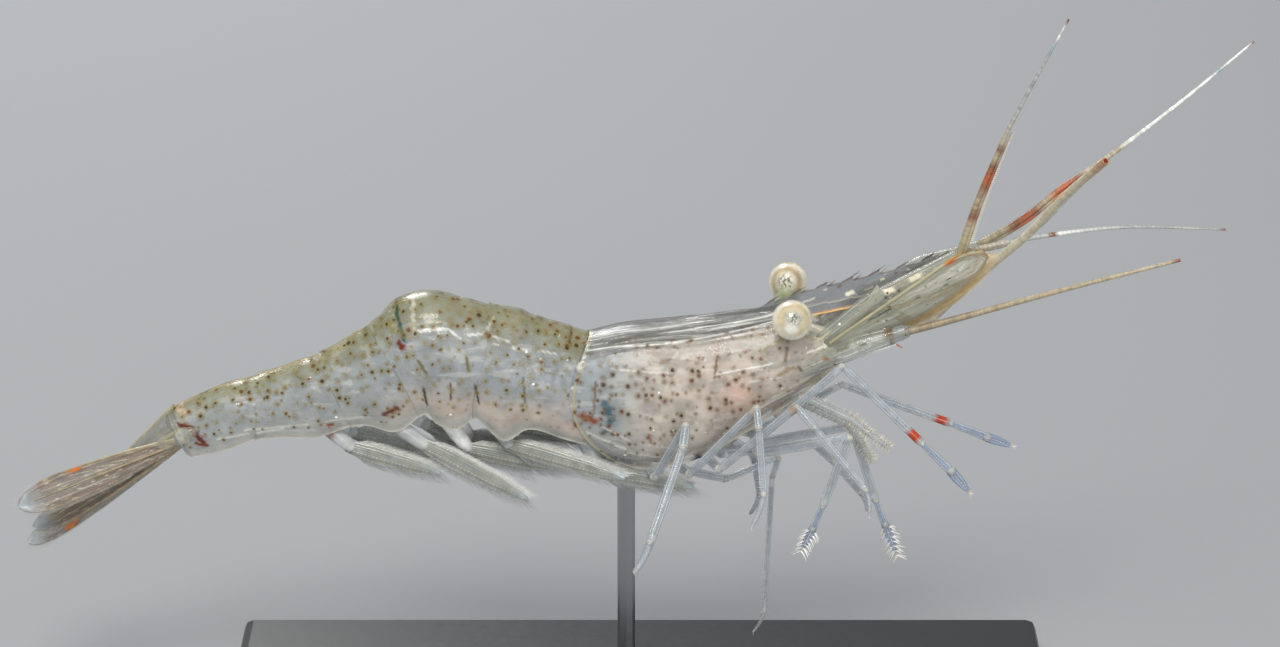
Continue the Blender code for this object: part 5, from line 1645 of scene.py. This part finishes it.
def make_telson():
    """A long tapering plate, roofed along its middle, with two pairs of spines above and five behind."""
    along = direction(TELSON_PITCH, 180)
    up = unit(np.cross(along, LEFT))
    if up[2] < 0:
        up = -up
    t = np.linspace(0, 1, 60)
    half = profile(t, TELSON_WIDTHS)
    path = np.array(TELSON_ROOT) + np.outer(t * TELSON_LENGTH, along)
    turn = 2 * np.pi * np.arange(40) / 40
    roof = TELSON_SHOULDER * np.clip(1 - t / 0.65, 0, 1)[:, None] * (np.sin(turn) > 0)
    height = 0.38 * (1 - 0.4 * t)[:, None] + roof
    ring = half[:, None, None] * np.cos(turn)[None, :, None] * LEFT
    ring = ring + (height * np.sin(turn))[..., None] * up
    ridge = bell(np.sin(turn), 1, 0.05) + 0 * t[:, None]
    edges = bell(np.abs(np.cos(turn)), 1, 0.01) + 0 * t[:, None]
    gold, pale = rgb(186, 168, 100, 0.8), rgb(196, 184, 130, 0.8)
    tint = layered(rgb(140, 138, 126, 0.45), (gold, ridge), (pale, edges))
    shape = Shape()
    shape.grid(path[:, None] + ring, tint)
    for index in (int(share * 59) for share in (0.5, 0.72)):
        for _, side in SIDES:
            root = path[index] + side * 0.4 * half[index] * LEFT + up * 0.28
            way = unit(along + 0.25 * up)
            shape.spine(root, way, (0, 0.55), (0.13, 0.02), 7, rgb(214, 196, 140, 0.9))
    for across, reach in TELSON_SPINES:
        shape.spine(path[-2] + (0, across, 0), along, (0, reach), (0.09, 0.015), 7, FAN_RIB)
    make_piece("telson_plate", shape, BLADE_FINISH, ["telson"])
    for _, side in SIDES:
        roots = path[22:58:2] + np.outer(half[22:58:2], side * LEFT)
        TAIL_SETAE.bristles(roots, along * 1.2 + side * LEFT, 0.35, HAIR_WIDTH, SETA)


UROPOD_STATIONS = ((0.0, 0.34), (0.08, 0.46), (0.25, 0.68), (0.5, 0.90), (0.72, 1.0), (0.85, 0.92),
                   (0.94, 0.66), (0.98, 0.38), (1.0, 0.12))
UROPOD_THICKNESS = 0.24
# The orange spot on each outer blade: its place along and across the blade, its radius and its tint.
UROPOD_SPOTS = {
    "uropod_exopod_r": (0.60, 0.88, 0.17, rgb(212, 114, 28, 0.95)),
    "uropod_exopod_l": (0.72, -0.62, 0.30, rgb(214, 120, 22, 0.95)),
}


def rolled_across(along, roll):
    """The direction across a blade that is rolled about its axis."""
    level = unit(np.cross(along, (0, 0, 1)))
    upward = unit(np.cross(level, along))
    return level * math.cos(math.radians(roll)) + upward * math.sin(math.radians(roll))


def make_uropods():
    for suffix, side in SIDES:
        make_uropod_stem(suffix, side)
    for name in UROPOD_BLADES:
        make_uropod_blade(name)


def make_uropod_stem(suffix, side):
    """The clear, mottled first segment of a uropod."""
    start = on_side(UROPOD_ROOT, side) - (0, 0, side * UROPOD_LIFT)
    t = np.linspace(-0.35, 1.1, 30)
    widths = 0.96 * np.sqrt(np.clip(1 - np.abs(t - 0.38) ** 3 / 0.40, 0.003, 1))
    path = start + np.outer(t * UROPOD_LENGTH, direction(UROPOD_PITCH, 180))
    tint = layered(
        rgb(178, 178, 162, 0.34), (rgb(214, 208, 184, 0.6), 0.7 * bell(t, 0.98, 0.13)),
        (rgb(226, 218, 196, 0.55), 0.7 * bell(t, 0.22, 0.12)),
        (rgb(150, 140, 104, 0.5), 0.8 * bell(t, 0.62, 0.06)))
    shape = Shape()
    shape.tube(path, widths, tint, sides=18)
    make_piece("uropod_stem_" + suffix, shape, BLADE_FINISH, ["uropod_protopod_" + suffix])


def make_uropod_blade(name):
    """One blade of the tail fan, with its stiff outer margin, its middle rib and its fringe."""
    root, length, pitch, yaw, roll, breadth = UROPOD_BLADES[name]
    along = direction(pitch, yaw)
    across = rolled_across(along, roll)
    outer = name in UROPOD_SPOTS
    spots = [UROPOD_SPOTS[name]] if outer else []
    size = (length, breadth)
    shape = Shape()
    edges = paddle(shape, root, along, across, size, UROPOD_STATIONS, UROPOD_THICKNESS, FAN_LOOK, spots)
    stiff = edges[1] if outer else edges[0]
    t = np.linspace(0, 1, len(stiff))
    tint = mixed(rgb(186, 176, 136, 0.8), rgb(170, 150, 130, 0.7), t)
    kept = slice(0, int(0.86 * len(stiff)), 4)
    shape.tube(stiff[kept], np.interp(t, (0, 1), (0.15, 0.09))[kept], tint[kept], sides=8)
    middle = root + np.outer(np.linspace(0.02, 0.9, 30) * length, along)
    shape.tube(middle, np.linspace(0.17, 0.05, 30), rgb(176, 160, 130, 0.75), sides=8)
    make_piece("blade_" + name, shape, BLADE_FINISH, [name])
    for edge, sign in ((edges[0], -1), (edges[1], 1)):
        first = 0.86 if edge is stiff else 0.3
        index = np.arange(int(first * (len(edge) - 1)), len(edge))
        ways = along * 1.4 + sign * across * 0.7
        tint = rgb(196, 196, 188, 0.7)
        TAIL_SETAE.bristles(edge[index], ways, 0.34, HAIR_WIDTH, tint, along * 0.2)


# ---------------------------------------------------------------- setae, stand and picture

def make_setae():
    for name, shape, slot in (("head", HEAD_SETAE, "feeler"), ("legs", LEG_SETAE, "limb"),
                              ("pleopods", PLEOPOD_SETAE, "blade"), ("tail", TAIL_SETAE, "blade")):
        make_piece("setae_" + name, shape, SETA_FINISH)


def finish_stand():
    for name, material in (("stand_base", plain_finish("stand_black", rgb(30, 31, 33), 0.32)),
                           ("stand_rod", plain_finish("stand_steel", rgb(176, 178, 180), 0.3, 1.0))):
        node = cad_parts[name]
        node.data.materials.clear()
        node.data.materials.append(material)


FLOOR_COLOUR = rgb(152, 154, 156)
FLOOR_REACH = 3.0  # metres
# Each lamp: its name, its place in metres, its power in watts, its size in metres and its colour.
LAMPS = (
    ("key", (-0.05, -0.26, 0.34), 1.25, 0.16, (1.0, 0.98, 0.95)),
    ("fill", (0.12, -0.36, 0.05), 0.6, 0.22, (0.94, 0.97, 1.0)),
    ("rim", (-0.10, 0.28, 0.26), 0.9, 0.12, (1, 1, 1)),
)
SKY_COLOUR = (0.80, 0.82, 0.85, 1)
SKY_STRENGTH = 0.42
CAMERA_ELEVATION = 20
CAMERA_DISTANCE = 213.33
CAMERA_LENS = 120
TARGET = Vector((0, 0, 21.5))


def add_object(name, data):
    thing = bpy.data.objects.new(name, data)
    bpy.context.scene.collection.objects.link(thing)
    return thing


def make_floor():
    mesh = bpy.data.meshes.new("floor")
    corners = [(x * FLOOR_REACH, y * FLOOR_REACH, 0) for x, y in ((-1, -1), (1, -1), (1, 1), (-1, 1))]
    mesh.from_pydata(corners, [], [(0, 1, 2, 3)])
    floor = add_object("floor", mesh)
    mesh.materials.append(plain_finish("floor", FLOOR_COLOUR, 0.85, grain=40.0))


def make_lights():
    """Soft square lamps that face the animal, and an even sky."""
    for name, place, power, size, colour in LAMPS:
        light = bpy.data.lights.new(name, "AREA")
        light.energy = power
        light.size = size
        light.color = colour
        lamp = add_object(name, light)
        lamp.location = Vector(place)
        lamp.rotation_euler = (TARGET * MM - lamp.location).to_track_quat("-Z", "Y").to_euler()
    world = bpy.data.worlds.new("soft_grey")
    world.use_nodes = True
    background = world.node_tree.nodes["Background"]
    background.inputs["Color"].default_value = SKY_COLOUR
    background.inputs["Strength"].default_value = SKY_STRENGTH
    bpy.context.scene.world = world


def make_camera():
    camera = add_object("camera", bpy.data.cameras.new("camera"))
    turn = math.radians(CAMERA_ELEVATION)
    offset = Vector((0, -math.cos(turn), math.sin(turn))) * CAMERA_DISTANCE
    camera.location = (TARGET + offset) * MM
    camera.rotation_euler = (-offset).to_track_quat("-Z", "Y").to_euler()
    camera.data.lens = CAMERA_LENS
    camera.data.sensor_width = 36
    camera.data.clip_start = 0.01
    scene = bpy.context.scene
    scene.camera = camera
    scene.cycles.transparent_max_bounces = 40
    scene.view_settings.view_transform = "Standard"


make_skin()
make_carapace()
make_abdomen()
make_eyes()
make_rostrum()
make_antennules()
make_antennae()
for limb_name in LIMBS:
    make_limb(limb_name)
make_pleopods()
make_telson()
make_uropods()
make_setae()
finish_stand()
make_floor()
make_lights()
make_camera()
